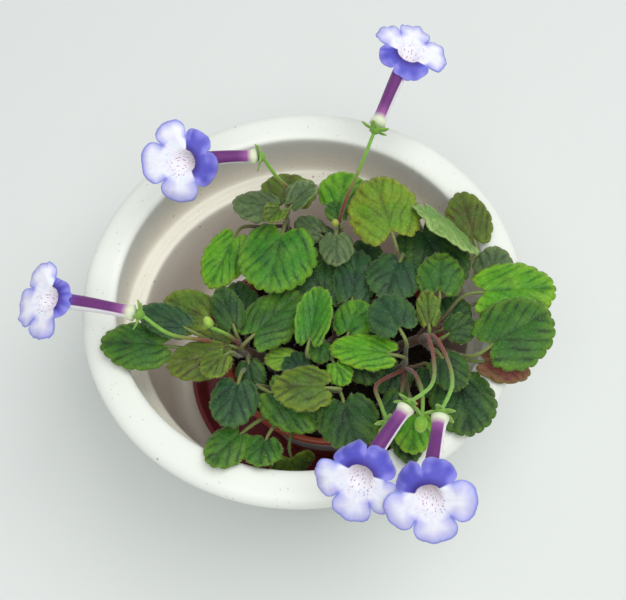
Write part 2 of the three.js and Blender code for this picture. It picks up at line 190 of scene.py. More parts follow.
# %% Node helpers
class Finish:
    def __init__(self, name, **sockets):
        """A material with its shader's own sockets set, and the piece's own coordinates as its place."""
        self.material = bpy.data.materials.new(name)
        self.material.use_nodes = True
        self.tree = self.material.node_tree
        self.shader = self.tree.nodes["Principled BSDF"]
        for key, value in sockets.items():
            self.shader.inputs[key.replace("_", " ")].default_value = value
        self.place = self.put("ShaderNodeTexCoord").outputs["Object"]
        print("finish:", name)

    def feed(self, socket, value):
        """Joins a socket to the input, or sets the input to a number or colour."""
        if isinstance(value, bpy.types.NodeSocket):
            self.tree.links.new(value, socket)
        else:
            socket.default_value = value

    def put(self, kind, inputs=None, **settings):
        node = self.tree.nodes.new(kind)
        for key, value in settings.items():
            setattr(node, key, value)
        for key, value in (inputs or {}).items():
            self.feed(node.inputs[key], value)
        return node

    def calc(self, operation, *values):
        return self.put("ShaderNodeMath", dict(enumerate(values)), operation=operation).outputs[0]

    def times(self, first, second):
        return self.calc("MULTIPLY", first, second)

    def scaled(self, value, by, plus):
        return self.calc("MULTIPLY_ADD", value, by, plus)

    def higher(self, first, second):
        return self.calc("MAXIMUM", first, second)

    def rise(self, value, low, high):
        """0 where value is under low, 1 over high, with an easy slope between; high may be the smaller."""
        inputs = {"Value": value, "From Min": low, "From Max": high}
        return self.put("ShaderNodeMapRange", inputs, interpolation_type="SMOOTHSTEP").outputs["Result"]

    def mix(self, amount, first, second, blend_type="MIX"):
        """Colours mixed by amount. Sockets 6, 7 and 2 are the node's colour ones."""
        inputs = {0: amount, 6: first, 7: second}
        return self.put("ShaderNodeMix", inputs, data_type="RGBA", blend_type=blend_type).outputs[2]

    def attribute(self, name, output="Color"):
        return self.put("ShaderNodeAttribute", attribute_name=name).outputs[output]

    def cloud(self, scale, detail=3.0, roughness=0.55, place=None):
        """Noise between 0 and 1, with scale in waves to the metre on the piece's own coordinates."""
        inputs = {"Vector": place or self.place, "Scale": scale, "Detail": detail, "Roughness": roughness}
        return self.put("ShaderNodeTexNoise", inputs).outputs["Fac"]

    def cells(self, scale, place=None, randomness=1.0, **settings):
        """A pattern of cells, with the outputs Distance and Color."""
        inputs = {"Vector": place or self.place, "Scale": scale, "Randomness": randomness}
        return self.put("ShaderNodeTexVoronoi", inputs, **settings).outputs

    def colour(self, tint):
        self.feed(self.shader.inputs["Base Color"], tint)

    def bump(self, height, distance, strength=1.0):
        inputs = {"Height": height, "Distance": distance, "Strength": strength}
        self.feed(self.shader.inputs["Normal"], self.put("ShaderNodeBump", inputs).outputs["Normal"])


def cloudy(name, first, second, scale, detail=3.0, **sockets):
    """A finish whose colour drifts from one to another and back."""
    finish = Finish(name, **sockets)
    finish.colour(finish.mix(finish.cloud(scale, detail), first, second))
    return finish


# %% Floor
floor_finish = Finish("pale_floor", Roughness=0.9, Specular_IOR_Level=0.2)
floor_finish.colour(srgb(220, 223, 220))
bm = bmesh.new()
bmesh.ops.create_grid(bm, x_segments=1, y_segments=1, size=1.5)
floor_mesh = bpy.data.meshes.new("floor")
bm.to_mesh(floor_mesh)
bm.free()
floor_mesh.materials.append(floor_finish.material)
floor = bpy.data.objects.new("floor", floor_mesh)
bpy.context.collection.objects.link(floor)
floor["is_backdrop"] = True

# %% [markdown]
# ## Tools for the meshes
#
# Three ways of making cover everything. A turned piece is an outline spun round an axis. A sheet is a flat
# grid that is bent into place point by point, like a leaf pressed from a sheet of paper. A tube is a sheet
# rolled round a path. Each point also carries colours, so that one material can dress many leaves.

# %% Mesh helpers
# A point's colours, its place in the pattern of its finish, and its place on the sheet's other side
COLOUR_LAYERS = ("tone", "vein_tone", "edge_tone", "plan", "skin")
NUMBER_LAYERS = ("rim", "under")  # how near the margin is, and 1 on the underside


def new_bmesh():
    """An empty mesh with the layers that all parts share, so that parts can be joined."""
    bm = bmesh.new()
    bm.loops.layers.uv.new("UVMap")
    for name in COLOUR_LAYERS:
        bm.verts.layers.float_color.new(name)
    for name in NUMBER_LAYERS:
        bm.verts.layers.float.new(name)
    return bm


def colour_points(bm, **tones):
    """Gives every point the same colours."""
    for name, colour in tones.items():
        layer = bm.verts.layers.float_color[name]
        for vert in bm.verts:
            vert[layer] = colour


def sheet(columns, rows, place):
    """A grid bent to shape: place(u, v) says where the point goes that is u across and v along."""
    bm = new_bmesh()
    bmesh.ops.create_grid(bm, x_segments=columns, y_segments=rows, size=0.5, calc_uvs=True)
    for vert in bm.verts:
        vert.co = place(vert.co.x + 0.5, vert.co.y + 0.5)
    return bm


def weld(bm, distance=1e-4):
    bmesh.ops.remove_doubles(bm, verts=bm.verts, dist=distance)
    bmesh.ops.recalc_face_normals(bm, faces=bm.faces)


def turned(outline, steps):
    """Spins an outline of (radius, height) points round the upright axis."""
    bm = new_bmesh()
    line = [bm.verts.new((radius, 0, height)) for radius, height in outline]
    edges = [bm.edges.new(pair) for pair in zip(line, line[1:])]
    turn = {"cent": (0, 0, 0), "axis": (0, 0, 1), "angle": 2 * math.pi, "use_merge": True}
    bmesh.ops.spin(bm, geom=line + edges, steps=steps, **turn)
    weld(bm)
    return bm


def rounded(outline, reach, steps=4):
    """The outline with its corners eased by arcs that start at most reach before the corner."""
    points = [Vector(p) for p in outline]
    eased = [points[0]]
    for before, corner, after in zip(points, points[1:], points[2:]):
        way_in, way_out = before - corner, after - corner
        start = corner + way_in.normalized() * min(reach, way_in.length / 2)
        end = corner + way_out.normalized() * min(reach, way_out.length / 2)
        for step in range(steps + 1):
            share = step / steps
            eased.append(start.lerp(corner, share).lerp(corner.lerp(end, share), share))
    return eased + [points[-1]]


def smooth_path(points, steps):
    """A smooth curve through the points, as steps + 1 places."""
    points = [Vector(p) for p in points]
    gaps = [(b - a).length for a, b in zip(points, points[1:])]
    slopes = [(b - a) / gap for a, b, gap in zip(points, points[1:], gaps)]
    tangents = [slopes[0]]
    for first, second, gap, next_gap in zip(slopes, slopes[1:], gaps, gaps[1:]):
        tangents.append((first * next_gap + second * gap) / (gap + next_gap))
    tangents.append(slopes[-1])
    total = sum(gaps)
    places = []
    for step in range(steps + 1):
        run = total * step / steps
        leg = 0
        while leg < len(gaps) - 1 and run > gaps[leg]:
            run -= gaps[leg]
            leg += 1
        t = min(run / gaps[leg], 1)
        t2, t3 = t * t, t * t * t
        places.append(
            points[leg] * (2 * t3 - 3 * t2 + 1)
            + tangents[leg] * gaps[leg] * (t3 - 2 * t2 + t)
            + points[leg + 1] * (3 * t2 - 2 * t3)
            + tangents[leg + 1] * gaps[leg] * (t3 - t2)
        )
    return places


def frames_along(places):
    """For each place on a path the two directions across it, carried along without twisting."""
    frames = []
    side = None
    for index in range(len(places)):
        ahead = places[min(index + 1, len(places) - 1)] - places[max(index - 1, 0)]
        ahead.normalize()
        if side is None:
            side = ahead.cross(UP if abs(ahead.z) < 0.9 else Vector((1, 0, 0)))
        side = (side - ahead * side.dot(ahead)).normalized()
        frames.append((side, ahead.cross(side)))
    return frames


def tube(places, radius_at, tone_at, sides=8):
    """A closed stalk round a path. radius_at and tone_at take the share of the way along it."""
    rows = len(places) - 1
    frames = frames_along(places)

    def place(u, v):
        row = round(v * rows)
        side, over = frames[row]
        turn = 2 * math.pi * u
        return places[row] + (side * math.cos(turn) + over * math.sin(turn)) * radius_at(v)

    bm = sheet(sides, rows, place)
    tone = bm.verts.layers.float_color["tone"]
    uv = bm.loops.layers.uv.active
    for face in bm.faces:
        for loop in face.loops:
            loop.vert[tone] = tone_at(loop[uv].uv.y)
    weld(bm)
    bmesh.ops.holes_fill(bm, edges=bm.edges, sides=0)
    bmesh.ops.recalc_face_normals(bm, faces=bm.faces)
    return bm


def thicken(bm, thickness):
    """Gives a sheet its thickness, on the side that its faces turn away from, and marks that side.

    Solidify makes spikes where a sheet folds sharply, so each new point is put straight under its own."""
    front = set(bm.verts)
    bm.normal_update()
    under, skin = bm.verts.layers.float["under"], bm.verts.layers.float_color["skin"]
    for vert in front:
        vert[skin] = (*(vert.co - vert.normal * thickness), 1)
    bmesh.ops.solidify(bm, geom=bm.faces[:], thickness=thickness)
    for vert in bm.verts:
        if vert not in front:
            vert.co = vert[skin][:3]
            vert[under] = 1.0


def add_part(target, part, material_index):
    """Joins a part to a larger mesh, with the material slot that it takes."""
    for face in part.faces:
        face.material_index = material_index
        face.smooth = True
    scrap = bpy.data.meshes.new("scrap")
    part.to_mesh(scrap)
    part.free()
    target.from_mesh(scrap)
    bpy.data.meshes.remove(scrap)


def new_piece(name, bm, finishes, node, height=0):
    """Turns a mesh in millimetres into a piece of the object that stands for its node."""
    bmesh.ops.translate(bm, verts=bm.verts, vec=(0, 0, height))
    bmesh.ops.scale(bm, verts=bm.verts, vec=(MM, MM, MM))
    mesh = bpy.data.meshes.new(name)
    bm.to_mesh(mesh)
    bm.free()
    for finish in finishes:
        mesh.materials.append(finish.material)
    piece = bpy.data.objects.new(name, mesh)
    bpy.context.collection.objects.link(piece)
    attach(piece, ROOT_BODY)
    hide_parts(node)
    mesh.calc_loop_triangles()
    print(name, len(mesh.loop_triangles), "triangles")


def smooth_all(bm):
    for face in bm.faces:
        face.smooth = True
    return bm


def turned_piece(name, outline, ease, steps, at, finish, node):
    """Spins an outline with its corners eased, moves it and makes it a piece."""
    bm = smooth_all(turned(rounded(outline, ease), steps))
    bmesh.ops.translate(bm, verts=bm.verts, vec=at)
    new_piece(name, bm, [finish], node)


# %% [markdown]
# ## The planter
#
# The planter is cast resin: off-white, satin, with small grey and brown specks all through it. Down inside,
# it is painted lighter and creamier as painted light in the deep bowl. Its rim is wide and softly rounded,
# the wall inside drops to a shelf with a fine groove, and the shelf drops again to the well that the pot
# stands in. One outline, spun, gives all of that.

# %% Planter material
WALL_LEAN = 0.2726  # of the outer wall, so that its radius less this share of its height is 0.0509 m all over
resin = Finish("speckled_resin", Roughness=0.4, Coat_Weight=0.1)
x, y, z = resin.put("ShaderNodeSeparateXYZ", {0: resin.place}).outputs
radius = resin.calc("POWER", resin.scaled(x, x, resin.times(y, y)), 0.5)
within_wall = resin.rise(resin.scaled(z, -WALL_LEAN, radius), 0.0506, 0.05)
# Painted light: below the rim the inside is painted lighter and creamier than the outside, to brighten the
# deep well
painted_light_inside = resin.times(resin.rise(z, 0.071, 0.054), within_wall)
tint = resin.mix(painted_light_inside, srgb(234, 237, 229), srgb(252, 248, 234))
tint = resin.mix(resin.times(resin.cloud(14), 0.35), tint, srgb(232, 230, 222), "MULTIPLY")

# Fine grey specks and fewer, larger brown ones: cells to the metre, the share of the cells that hold a speck,
# its edge and core, its strength and its colour.
for scale, share, edge, core, strength, colour in (
    (520, 0.3, 0.26, 0.05, 0.34, srgb(146, 146, 138)),
    (230, 0.16, 0.15, 0.03, 0.66, srgb(120, 114, 104)),
):
    cell = resin.cells(scale)
    pick = resin.put("ShaderNodeSeparateColor", {"Color": cell["Color"]}).outputs[0]
    speck = resin.times(resin.rise(cell["Distance"], edge, core), resin.calc("LESS_THAN", pick, share))
    tint = resin.mix(resin.times(speck, strength), tint, colour)
resin.colour(tint)
resin.bump(resin.cloud(900, 2), 0.00004, 0.35)

# %% Planter
SHELF = RIM_HEIGHT - 19.6
WELL_FLOOR = 8
planter_outline = [
    (0, 0.8), (44, 0.8), (45, 0), (50, 0), (51.2, 1.2), (67.5, 61), (69, 63), (73.4, 65.2), (75, 68.8),
    (74.6, 70.8), (72, 72.4), (65.7, 72.8), (63.3, 72), (62.7, 70.6), (63.3, 60), (63.9, 51.6),
    (63.1, SHELF), (60.6, SHELF), (60.4, SHELF - 0.35), (60.1, SHELF - 0.35), (59.9, SHELF),
    (58, SHELF - 0.2), (57.2, SHELF - 1), (52.6, WELL_FLOOR + 4), (49.5, WELL_FLOOR), (0, WELL_FLOOR),
]
turned_piece("planter", planter_outline, 2.4, 160, (0, 0, 0), resin, "planter_bowl")

# %% [markdown]
# ## Saucer, pot, label and soil
#
# The saucer is dark burgundy and a little glossy. The pot is a thin terracotta-coloured nursery pot: brown
# red plastic with a satin gleam on its narrow rolled rim. The label is a bare strip of plastic that leans on
# the pot under that rim. The soil is a dark crumb with a few light grains.

# %% Saucer
glaze = cloudy(
    "burgundy_glaze", srgb(146, 58, 64), srgb(114, 46, 52), 60, Roughness=0.36, Specular_IOR_Level=0.45)
glaze.bump(glaze.cloud(700, 2), 0.00005, 0.4)

SAUCER_AT = (3, -3, 0)
SAUCER_FLOOR = WELL_FLOOR + 0.3
saucer_outline = [
    (0, SAUCER_FLOOR), (42.5, SAUCER_FLOOR), (44.8, SAUCER_FLOOR + 1), (46.7, SAUCER_FLOOR + 10.1),
    (47, SAUCER_FLOOR + 11), (46.2, SAUCER_FLOOR + 11.5), (45.2, SAUCER_FLOOR + 11.2),
    (44.6, SAUCER_FLOOR + 9.9), (42.6, SAUCER_FLOOR + 3.4), (41.4, SAUCER_FLOOR + 2.6),
    (0, SAUCER_FLOOR + 2.6),
]
turned_piece("saucer", saucer_outline, 1.2, 128, SAUCER_AT, glaze, "pot_saucer")

# %% Pot
terracotta = cloudy(
    "terracotta_plastic", srgb(186, 88, 58), srgb(154, 70, 48), 45, 4, Roughness=0.38, Specular_IOR_Level=0.5)
terracotta.bump(terracotta.cloud(600, 3, 0.7), 0.00006, 0.4)

POT_AT = Vector((9, -9, 0))
POT_FOOT = SAUCER_FLOOR + 2.9
POT_TOP = RIM_HEIGHT - 18
UNDER_RIM = POT_TOP - 2.6
POT_FOOT_RADIUS = 28
POT_WALL_RADIUS = 37.2
POT_WALL = 1.4


def pot_side(height):
    """Outside radius of the pot's sloping wall at a height."""
    share = (height - POT_FOOT) / (UNDER_RIM - POT_FOOT)
    return POT_FOOT_RADIUS + (POT_WALL_RADIUS - POT_FOOT_RADIUS) * share


pot_outline = [
    (0, POT_FOOT), (27.2, POT_FOOT), (pot_side(POT_FOOT + 1), POT_FOOT + 1),
    (pot_side(UNDER_RIM), UNDER_RIM), (38.5, UNDER_RIM + 0.6), (38.5, POT_TOP - 0.5), (37.9, POT_TOP),
    (36.8, POT_TOP), (36.4, POT_TOP - 0.6), (pot_side(UNDER_RIM) - POT_WALL, UNDER_RIM),
    (pot_side(POT_FOOT + POT_WALL) - POT_WALL, POT_FOOT + POT_WALL), (0, POT_FOOT + POT_WALL),
]
turned_piece("pot", pot_outline, 0.6, 128, POT_AT, terracotta, "nursery_pot")

# %% Label
label_grey = cloudy("bare_label", srgb(206, 202, 214), srgb(186, 182, 198), 90, Roughness=0.45)
LABEL_FROM, LABEL_TO = math.radians(-124), math.radians(-90)
LABEL_SKEW = math.radians(3)
LABEL_HEIGHT, LABEL_THICKNESS = 14, 0.6
OFF_POT = 0.9  # of its outside, from the pot's wall


def on_label(u, v):
    height = UNDER_RIM - 0.5 - LABEL_HEIGHT * v
    bearing = LABEL_FROM + (LABEL_TO - LABEL_SKEW * v - LABEL_FROM) * u
    out = Vector((math.cos(bearing), math.sin(bearing), 0))
    return POT_AT + out * (pot_side(height) + OFF_POT) + UP * height


label = sheet(24, 8, on_label)
bmesh.ops.recalc_face_normals(label, faces=label.faces)
thicken(label, LABEL_THICKNESS)
new_piece("label", smooth_all(label), [label_grey], "plant_label")

# %% Soil
soil_mix = Finish("potting_mix", Roughness=0.95, Specular_IOR_Level=0.2)
soil_mix.colour(soil_mix.mix(soil_mix.cloud(500, 4), soil_mix.attribute("tone"), srgb(14, 11, 9)))
soil_mix.bump(soil_mix.cloud(900, 5, 0.7), 0.0004)

SOIL_TOP = RIM_HEIGHT - 22
SOIL_COLOUR = srgb(54, 44, 34)
CRUMBS = 620
CRUMB_COLOURS = [srgb(60, 46, 34), srgb(34, 27, 22), srgb(88, 68, 48), srgb(190, 184, 170), srgb(58, 66, 32)]
CRUMB_SHARES = (5, 4, 3, 1, 2)
soil_rng = random.Random(11)


def soil_radius(height):
    return pot_side(height) - POT_WALL - 0.3


soil_bottom = POT_FOOT + POT_WALL + 0.3
soil_outline = [(0, soil_bottom), (soil_radius(soil_bottom), soil_bottom)]
soil_outline += [(soil_radius(SOIL_TOP - 1), SOIL_TOP - 1)]
soil_outline += [(33.6 - 1.6 * ring, SOIL_TOP) for ring in range(21)] + [(0, SOIL_TOP)]
soil = turned(soil_outline, 80)
for vert in soil.verts:
    if vert.co.z > SOIL_TOP - 0.1:
        vert.co.z += 1.1 * noise.fractal(vert.co * 0.35, 1.0, 2.0, 4) - 0.4
colour_points(soil, tone=SOIL_COLOUR)
for _ in range(CRUMBS):
    crumb = new_bmesh()
    size = soil_rng.uniform(0.3, 1.1)
    bmesh.ops.create_icosphere(crumb, subdivisions=1, radius=size)
    squash = [soil_rng.uniform(0.5, 1.0) for _ in range(3)]
    bmesh.ops.scale(crumb, verts=crumb.verts, vec=squash)
    turn, out = soil_rng.uniform(0, 2 * math.pi), 33.5 * math.sqrt(soil_rng.random())
    spot = Vector((out * math.cos(turn), out * math.sin(turn), SOIL_TOP - 0.1))
    bmesh.ops.translate(crumb, verts=crumb.verts, vec=spot)
    colour_points(crumb, tone=soil_rng.choices(CRUMB_COLOURS, CRUMB_SHARES)[0])
    add_part(soil, crumb, 0)
bmesh.ops.translate(soil, verts=soil.verts, vec=POT_AT)
new_piece("soil", smooth_all(soil), [soil_mix], "potting_soil")

# %% [markdown]
# ## Leaf materials
#
# A leaf of this plant is softly quilted: a few side veins fan forward from the stalk to the margin, and the
# blade swells between them. Darker, often bronze, colour lies along the veins and fades between them, and the
# margin is lighter. Every point of a blade carries how near it is to a vein, worked out once in its mesh, so
# the relief and the colour always meet. Fine white hairs soften everything, which a little sheen helps.

# %% Leaf material
green = Finish(
    "quilted_leaf", Roughness=0.5, Specular_IOR_Level=0.28, Sheen_Weight=0.03, Sheen_Roughness=0.4,
    Subsurface_Weight=0.08, Subsurface_Scale=0.0008,
)
vein_tone, rim = green.attribute("vein_tone"), green.attribute("rim", "Fac")
phase, from_midrib, _ = green.put("ShaderNodeSeparateColor", {"Color": green.attribute("plan")}).outputs
wander = green.scaled(green.cloud(230, 4), 0.6, -0.3)
from_vein = green.calc("PINGPONG", green.calc("ADD", phase, wander), 0.5)
patches = green.rise(green.cloud(170, 4), 0.36, 0.64)

# Dark bands along the veins, and the darker heart of the blade
band = green.higher(green.rise(from_vein, 0.4, 0.02), green.rise(from_midrib, 0.24, 0.0))
band = green.times(band, green.scaled(patches, 0.66, 0.14))
heart = green.times(green.rise(rim, 0.85, 0.3), green.scaled(patches, 0.35, 0.12))
tint = green.mix(green.higher(band, heart), green.attribute("tone"), vein_tone)

# The light margin, painted shade in the grooves over the veins, and the fine net and grain between them
tint = green.mix(green.times(green.rise(rim, 0.84, 1.0), 0.7), tint, green.attribute("edge_tone"))
groove = green.higher(green.rise(from_vein, 0.055, 0.0), green.rise(from_midrib, 0.05, 0.0))
# Painted shade: the grooves are darkened in the colour as well as sunk by the bump
tint = green.mix(green.times(groove, 0.22), tint, srgb(60, 84, 50), "MULTIPLY")
net = green.rise(green.cells(620, feature="DISTANCE_TO_EDGE")["Distance"], 0.16, 0.0)
tint = green.mix(green.times(net, 0.16), tint, vein_tone)
tint = green.mix(1.0, tint, green.calc("ADD", green.cloud(800, 4, 0.7), 0.39), "MULTIPLY")
green.colour(green.mix(green.times(green.attribute("under", "Fac"), 0.75), tint, srgb(122, 152, 72)))
pebbles = green.scaled(green.cells(1500)["Distance"], -0.45, green.times(net, -0.35))
green.bump(green.calc("ADD", green.times(groove, -0.5), pebbles), 0.00022, 0.75)

# %% Stalk and hair materials
stalk = Finish("stalk", Roughness=0.5, Sheen_Weight=0.3, Subsurface_Weight=0.1, Subsurface_Scale=0.001)
stalk.colour(stalk.mix(1.0, stalk.attribute("tone"), stalk.scaled(stalk.cloud(700), 0.7, 0.65), "MULTIPLY"))
stalk.bump(stalk.cloud(1400, 2), 0.0001, 0.5)
hair = cloudy("white_hair", srgb(196, 208, 172), srgb(228, 236, 214), 200, Roughness=0.4)

# %% [markdown]
# ## One leaf
#
# The blade starts as a grid whose rows are rings round the middle of the leaf and whose columns are spokes,
# seven to each round tooth, so that every notch between two teeth falls on a spoke and stays sharp. The
# outline gives the teeth and the two lobes that reach back past the stalk, the lift gives the arch and the
# drooping sides, and the vein formula quilts it. Its stalk leaves the crown, comes up under the blade and
# goes on as the midrib on the underside.

# %% Leaf blade
RINGS, SPOKES_PER_TOOTH = 12, 7
TOOTH_WIDTH, TOOTH_DEPTH = 4.2, 0.066
VEIN_SPACING = 6.2  # along the midrib
VEIN_LEAN, VEIN_CURVE = 0.72, 0.1
LEAF_THICKNESS = 0.5
LEAF_CENTRE = 0.42  # of its length, where its rings and spokes meet
LEAF_ARCH = 1.2

# Colours of the blade, its veins and its margin
LEAF_TONES = {
    "bright": (srgb(92, 164, 24), srgb(42, 98, 24), srgb(148, 192, 46)),
    "lime": (srgb(122, 168, 46), srgb(84, 130, 40), srgb(164, 196, 74)),
    "yellow_green": (srgb(102, 150, 30), srgb(84, 104, 30), srgb(160, 164, 50)),
    "green": (srgb(64, 136, 30), srgb(30, 66, 32), srgb(122, 174, 40)),
    "mid": (srgb(56, 112, 30), srgb(32, 54, 30), srgb(110, 152, 42)),
    # dark: mostly on the low leaves under the mound; its deeper green is partly the leaves' own and partly
    # painted shade
    "dark": (srgb(42, 86, 34), srgb(24, 42, 28), srgb(88, 124, 38)),
    "blue": (srgb(44, 86, 48), srgb(26, 48, 38), srgb(82, 122, 54)),
    "olive": (srgb(84, 120, 30), srgb(62, 64, 32), srgb(140, 158, 48)),
    "bronze": (srgb(76, 106, 28), srgb(76, 54, 34), srgb(120, 140, 40)),
    "grey": (srgb(84, 112, 66), srgb(62, 76, 52), srgb(126, 146, 88)),
    "pale": (srgb(118, 160, 74), srgb(100, 140, 66), srgb(164, 190, 114)),
    "red": (srgb(140, 82, 66), srgb(118, 42, 54), srgb(138, 124, 64)),
}


def leaf_frame(base, tip, roll=0):
    """Carries +X to the direction from base to tip, with +Z turned up and then rolled."""
    x = (tip - base).normalized()
    up = (UP - x * x.z).normalized()
    up = Matrix.Rotation(math.radians(roll), 3, x) @ up
    rotation = Matrix((x, up.cross(x), up)).transposed().to_4x4()
    return Matrix.Translation(base) @ rotation


class Leaf:
    """The shape of one blade, from where its stalk joins to its tip."""

    def __init__(self, base, tip, width, tone, roll=0, sides=-0.12):
        self.base, self.tip, self.width = Vector(base), Vector(tip), width
        self.tones = LEAF_TONES[tone]
        self.length = (self.tip - self.base).length
        self.frame = leaf_frame(self.base, self.tip, roll)
        self.sides = sides
        self.teeth = min(max(round(1.55 * (self.length + width) / TOOTH_WIDTH), 8), 19)
        self.veins = min(max(self.length / VEIN_SPACING, 2.6), 4.2)
        self.seed = Vector((base[0] * 1.7, base[1] * 1.3, base[2]))

    def noise_at(self, x, y, scale):
        return noise.noise(self.seed + Vector((x * self.length, y * self.width, 0)) * scale)

    def plan(self, u, v):
        """Flat place of a point: x from base to tip and y across, both as shares."""
        turn = 2 * math.pi * u
        tooth = abs(math.sin(self.teeth * turn / 2)) ** 0.55
        wobble = 0.04 * noise.noise(self.seed + Vector((math.cos(turn), math.sin(turn), 0)) * 1.6)
        reach = 0.928 + TOOTH_DEPTH * tooth + wobble
        x = 0.5 - 0.5 * reach * math.cos(turn)
        y = 0.5 * reach * math.sin(turn) * (1.13 - 0.24 * x)
        from_stalk = min(turn, 2 * math.pi - turn)
        notch = 0.13 * math.exp(-((from_stalk / 0.21) ** 2))
        x += notch - 0.05 * math.exp(-(((from_stalk - 0.62) / 0.3) ** 2))
        return LEAF_CENTRE + (x - LEAF_CENTRE) * v, y * v

    def vein_phase(self, x, y):
        """Whole numbers on the side veins, which fan forward and wander a little."""
        across = abs(2 * y)
        fan = x - VEIN_LEAN * across - VEIN_CURVE * across * across
        return self.veins * fan + 0.35 * self.noise_at(x, y, 0.14)

    def lift(self, x, y, v):
        """Height of the blade over the line from base to tip, in millimetres."""
        across = abs(2 * y)
        bow = 4 * LEAF_ARCH * x * (1 - x)
        droop = self.sides * self.width * across * across
        swell = abs(math.sin(math.pi * self.vein_phase(x, y))) ** 0.9
        cross_phase = across * self.width / 5 + 0.6 * self.noise_at(x, y, 0.3)
        domes = 0.72 + 0.28 * abs(math.sin(math.pi * cross_phase))
        quilt = 0.014 * self.width * swell * domes * smooth_step(across, 0.03, 0.3) * (1 - 0.4 * v**4)
        midrib = -0.3 * math.exp(-((across / 0.08) ** 2))
        waves = (0.7 * self.noise_at(x, y, 0.2) + 0.28 * self.noise_at(x, y, 0.6)) * (0.3 + v)
        return bow + droop + quilt + midrib + waves - 0.3 * smooth_step(v, 0.86, 1.0)

    def place(self, u, v):
        x, y = self.plan(u, v)
        return self.frame @ Vector((x * self.length, y * self.width, self.lift(x, y, v)))

    def tone(self, x, y, v):
        """The blade's own green, lighter in blotches and towards the margin."""
        blotch = smooth_step(self.noise_at(x, y, 0.15), -0.15, 0.5)
        return between(self.tones[0], self.tones[2], 0.34 * blotch + 0.3 * smooth_step(v, 0.5, 1.0))

    def blade(self):
        bm = sheet(SPOKES_PER_TOOTH * self.teeth, RINGS, self.place)
        uv, rim = bm.loops.layers.uv.active, bm.verts.layers.float["rim"]
        tone, plan = bm.verts.layers.float_color["tone"], bm.verts.layers.float_color["plan"]
        colour_points(bm, vein_tone=self.tones[1], edge_tone=self.tones[2])
        for face in bm.faces:
            for loop in face.loops:
                u, v = loop[uv].uv
                x, y = self.plan(u, v)
                loop.vert[rim] = v
                loop.vert[tone] = self.tone(x, y, v)
                loop.vert[plan] = (self.vein_phase(x, y) + 4, abs(2 * y), x, 1)
        weld(bm, 0.02)
        if sum(face.normal.z for face in bm.faces) * self.frame.to_3x3().col[2].z < 0:
            bmesh.ops.reverse_faces(bm, faces=bm.faces)
        return bm


# %% Leaf stalk
STALK_LIGHT, STALK_BROWN = srgb(110, 128, 50), srgb(88, 62, 40)
STEM_RADIUS, LEAF_STALK_RADIUS = 2.1, 0.75


def stalk_tone(share):
    return between(STALK_BROWN, STALK_LIGHT, smooth_step(share, 0.1, 0.6))


def stalk_path(crown, stem_run, leaf, order):
    """From the side of the crown, low and out, up to the blade and along under its midrib."""

    def under(x, depth):
        v = (x - LEAF_CENTRE) / (1 - LEAF_CENTRE) if x > LEAF_CENTRE else 1 - x / LEAF_CENTRE
        return leaf.frame @ Vector((x * leaf.length, 0, leaf.lift(x, 0, v) - depth))

    seat, turn = under(0.26, 1.0), leaf.frame @ Vector((-0.08 * leaf.length, 0, -1.8))
    out = turn - crown
    out.z = 0
    foot = crown + out.normalized() * (0.4 * STEM_RADIUS) - stem_run * (0.6 + 1.1 * (order % 4))
    half = foot.lerp(turn, 0.5)
    half.z = min(foot.z, turn.z) + abs(foot.z - turn.z) * 0.35
    return [foot, half, turn, seat, under(0.55, 0.75), under(0.82, 0.6)]


def leaf_stalk(crown, stem_run, leaf, order):
    def radius(share):
        thinner = 0.15 * smooth_step(share, 0.0, 0.5) + 0.35 * smooth_step(share, 0.5, 1.0)
        return LEAF_STALK_RADIUS - thinner

    return tube(smooth_path(stalk_path(crown, stem_run, leaf, order), 22), radius, stalk_tone, 8)


# %% [markdown]
# ## Hairs
#
# The whole plant is finely hairy. A hair is a three-sided needle, about half a millimetre long and thinner
# than a thread. Thousands are needed, so one is made, and copies of its few points are turned to stand on
# the faces and along the margin of each blade, and all round the stalks.

# %% Hairs
HAIR_RADIUS = 0.035
hair_bm = bmesh.new()
bmesh.ops.create_cone(
    hair_bm, cap_ends=True, segments=3, radius1=HAIR_RADIUS, radius2=0, depth=1,
    matrix=Matrix.Translation((0, 0, 0.5)),
)
HAIR_POINTS = [v.co.copy() for v in hair_bm.verts]
HAIR_FACES = [[v.index for v in f.verts] for f in hair_bm.faces]
hair_bm.free()
hair_rng = random.Random(5)


def stand_hairs(target, roots, material_index):
    """Copies the hair to each (place, direction, length)."""
    points, faces = [], []
    for spot, direction, length in roots:
        rotation = direction.to_track_quat("Z", "Y").to_matrix()
        first = len(points)
        points += [spot + rotation @ Vector((p.x, p.y, p.z * length)) for p in HAIR_POINTS]
        faces += [[first + i for i in face] for face in HAIR_FACES]
    hairs = bpy.data.meshes.new("hairs")
    hairs.from_pydata(points, [], faces)
    part = bmesh.new()
    part.from_mesh(hairs)
    bpy.data.meshes.remove(hairs)
    add_part(target, part, material_index)


def hairs_on_faces(faces, count, lengths, lean):
    """Hair roots on random faces, more on larger ones, that lean from upright by chance."""
    areas = [face.calc_area() for face in faces]
    roots = []
    for face in hair_rng.choices(faces, areas, k=count):
        tilt = Vector([hair_rng.gauss(0, lean) for _ in range(3)])
        spot = face.calc_center_median()
        roots.append((spot, (face.normal + tilt).normalized(), hair_rng.uniform(*lengths)))
    return roots


def hairs_on_margin(leaf, count):
    """Hairs along the margin, pointing outwards and a little up."""
    roots = []
    middle = leaf.place(0, 0)
    for _ in range(count):
        spot = leaf.place(hair_rng.random(), 0.985)
        out = (spot - middle).normalized() + UP * hair_rng.uniform(-0.2, 0.5)
        roots.append((spot, out.normalized(), hair_rng.uniform(0.4, 0.9)))
    return roots


# %% [markdown]
# ## Flowers
#
# A bloom is one long tube that opens into five lobes. The lower three are joined in a wide white apron with
# soft lavender margins, and fine purple dots fan over its root from the throat. The two next to the tube
# are violet and fold back over it, so their crease is a crisp arc that hides the throat. The tube is purple
# above, white below and swells to a small white knob in the green calyx. The whole corolla is one sheet: its
# rows run from the calyx up the tube, out over the lip and on to the margin of the lobes.

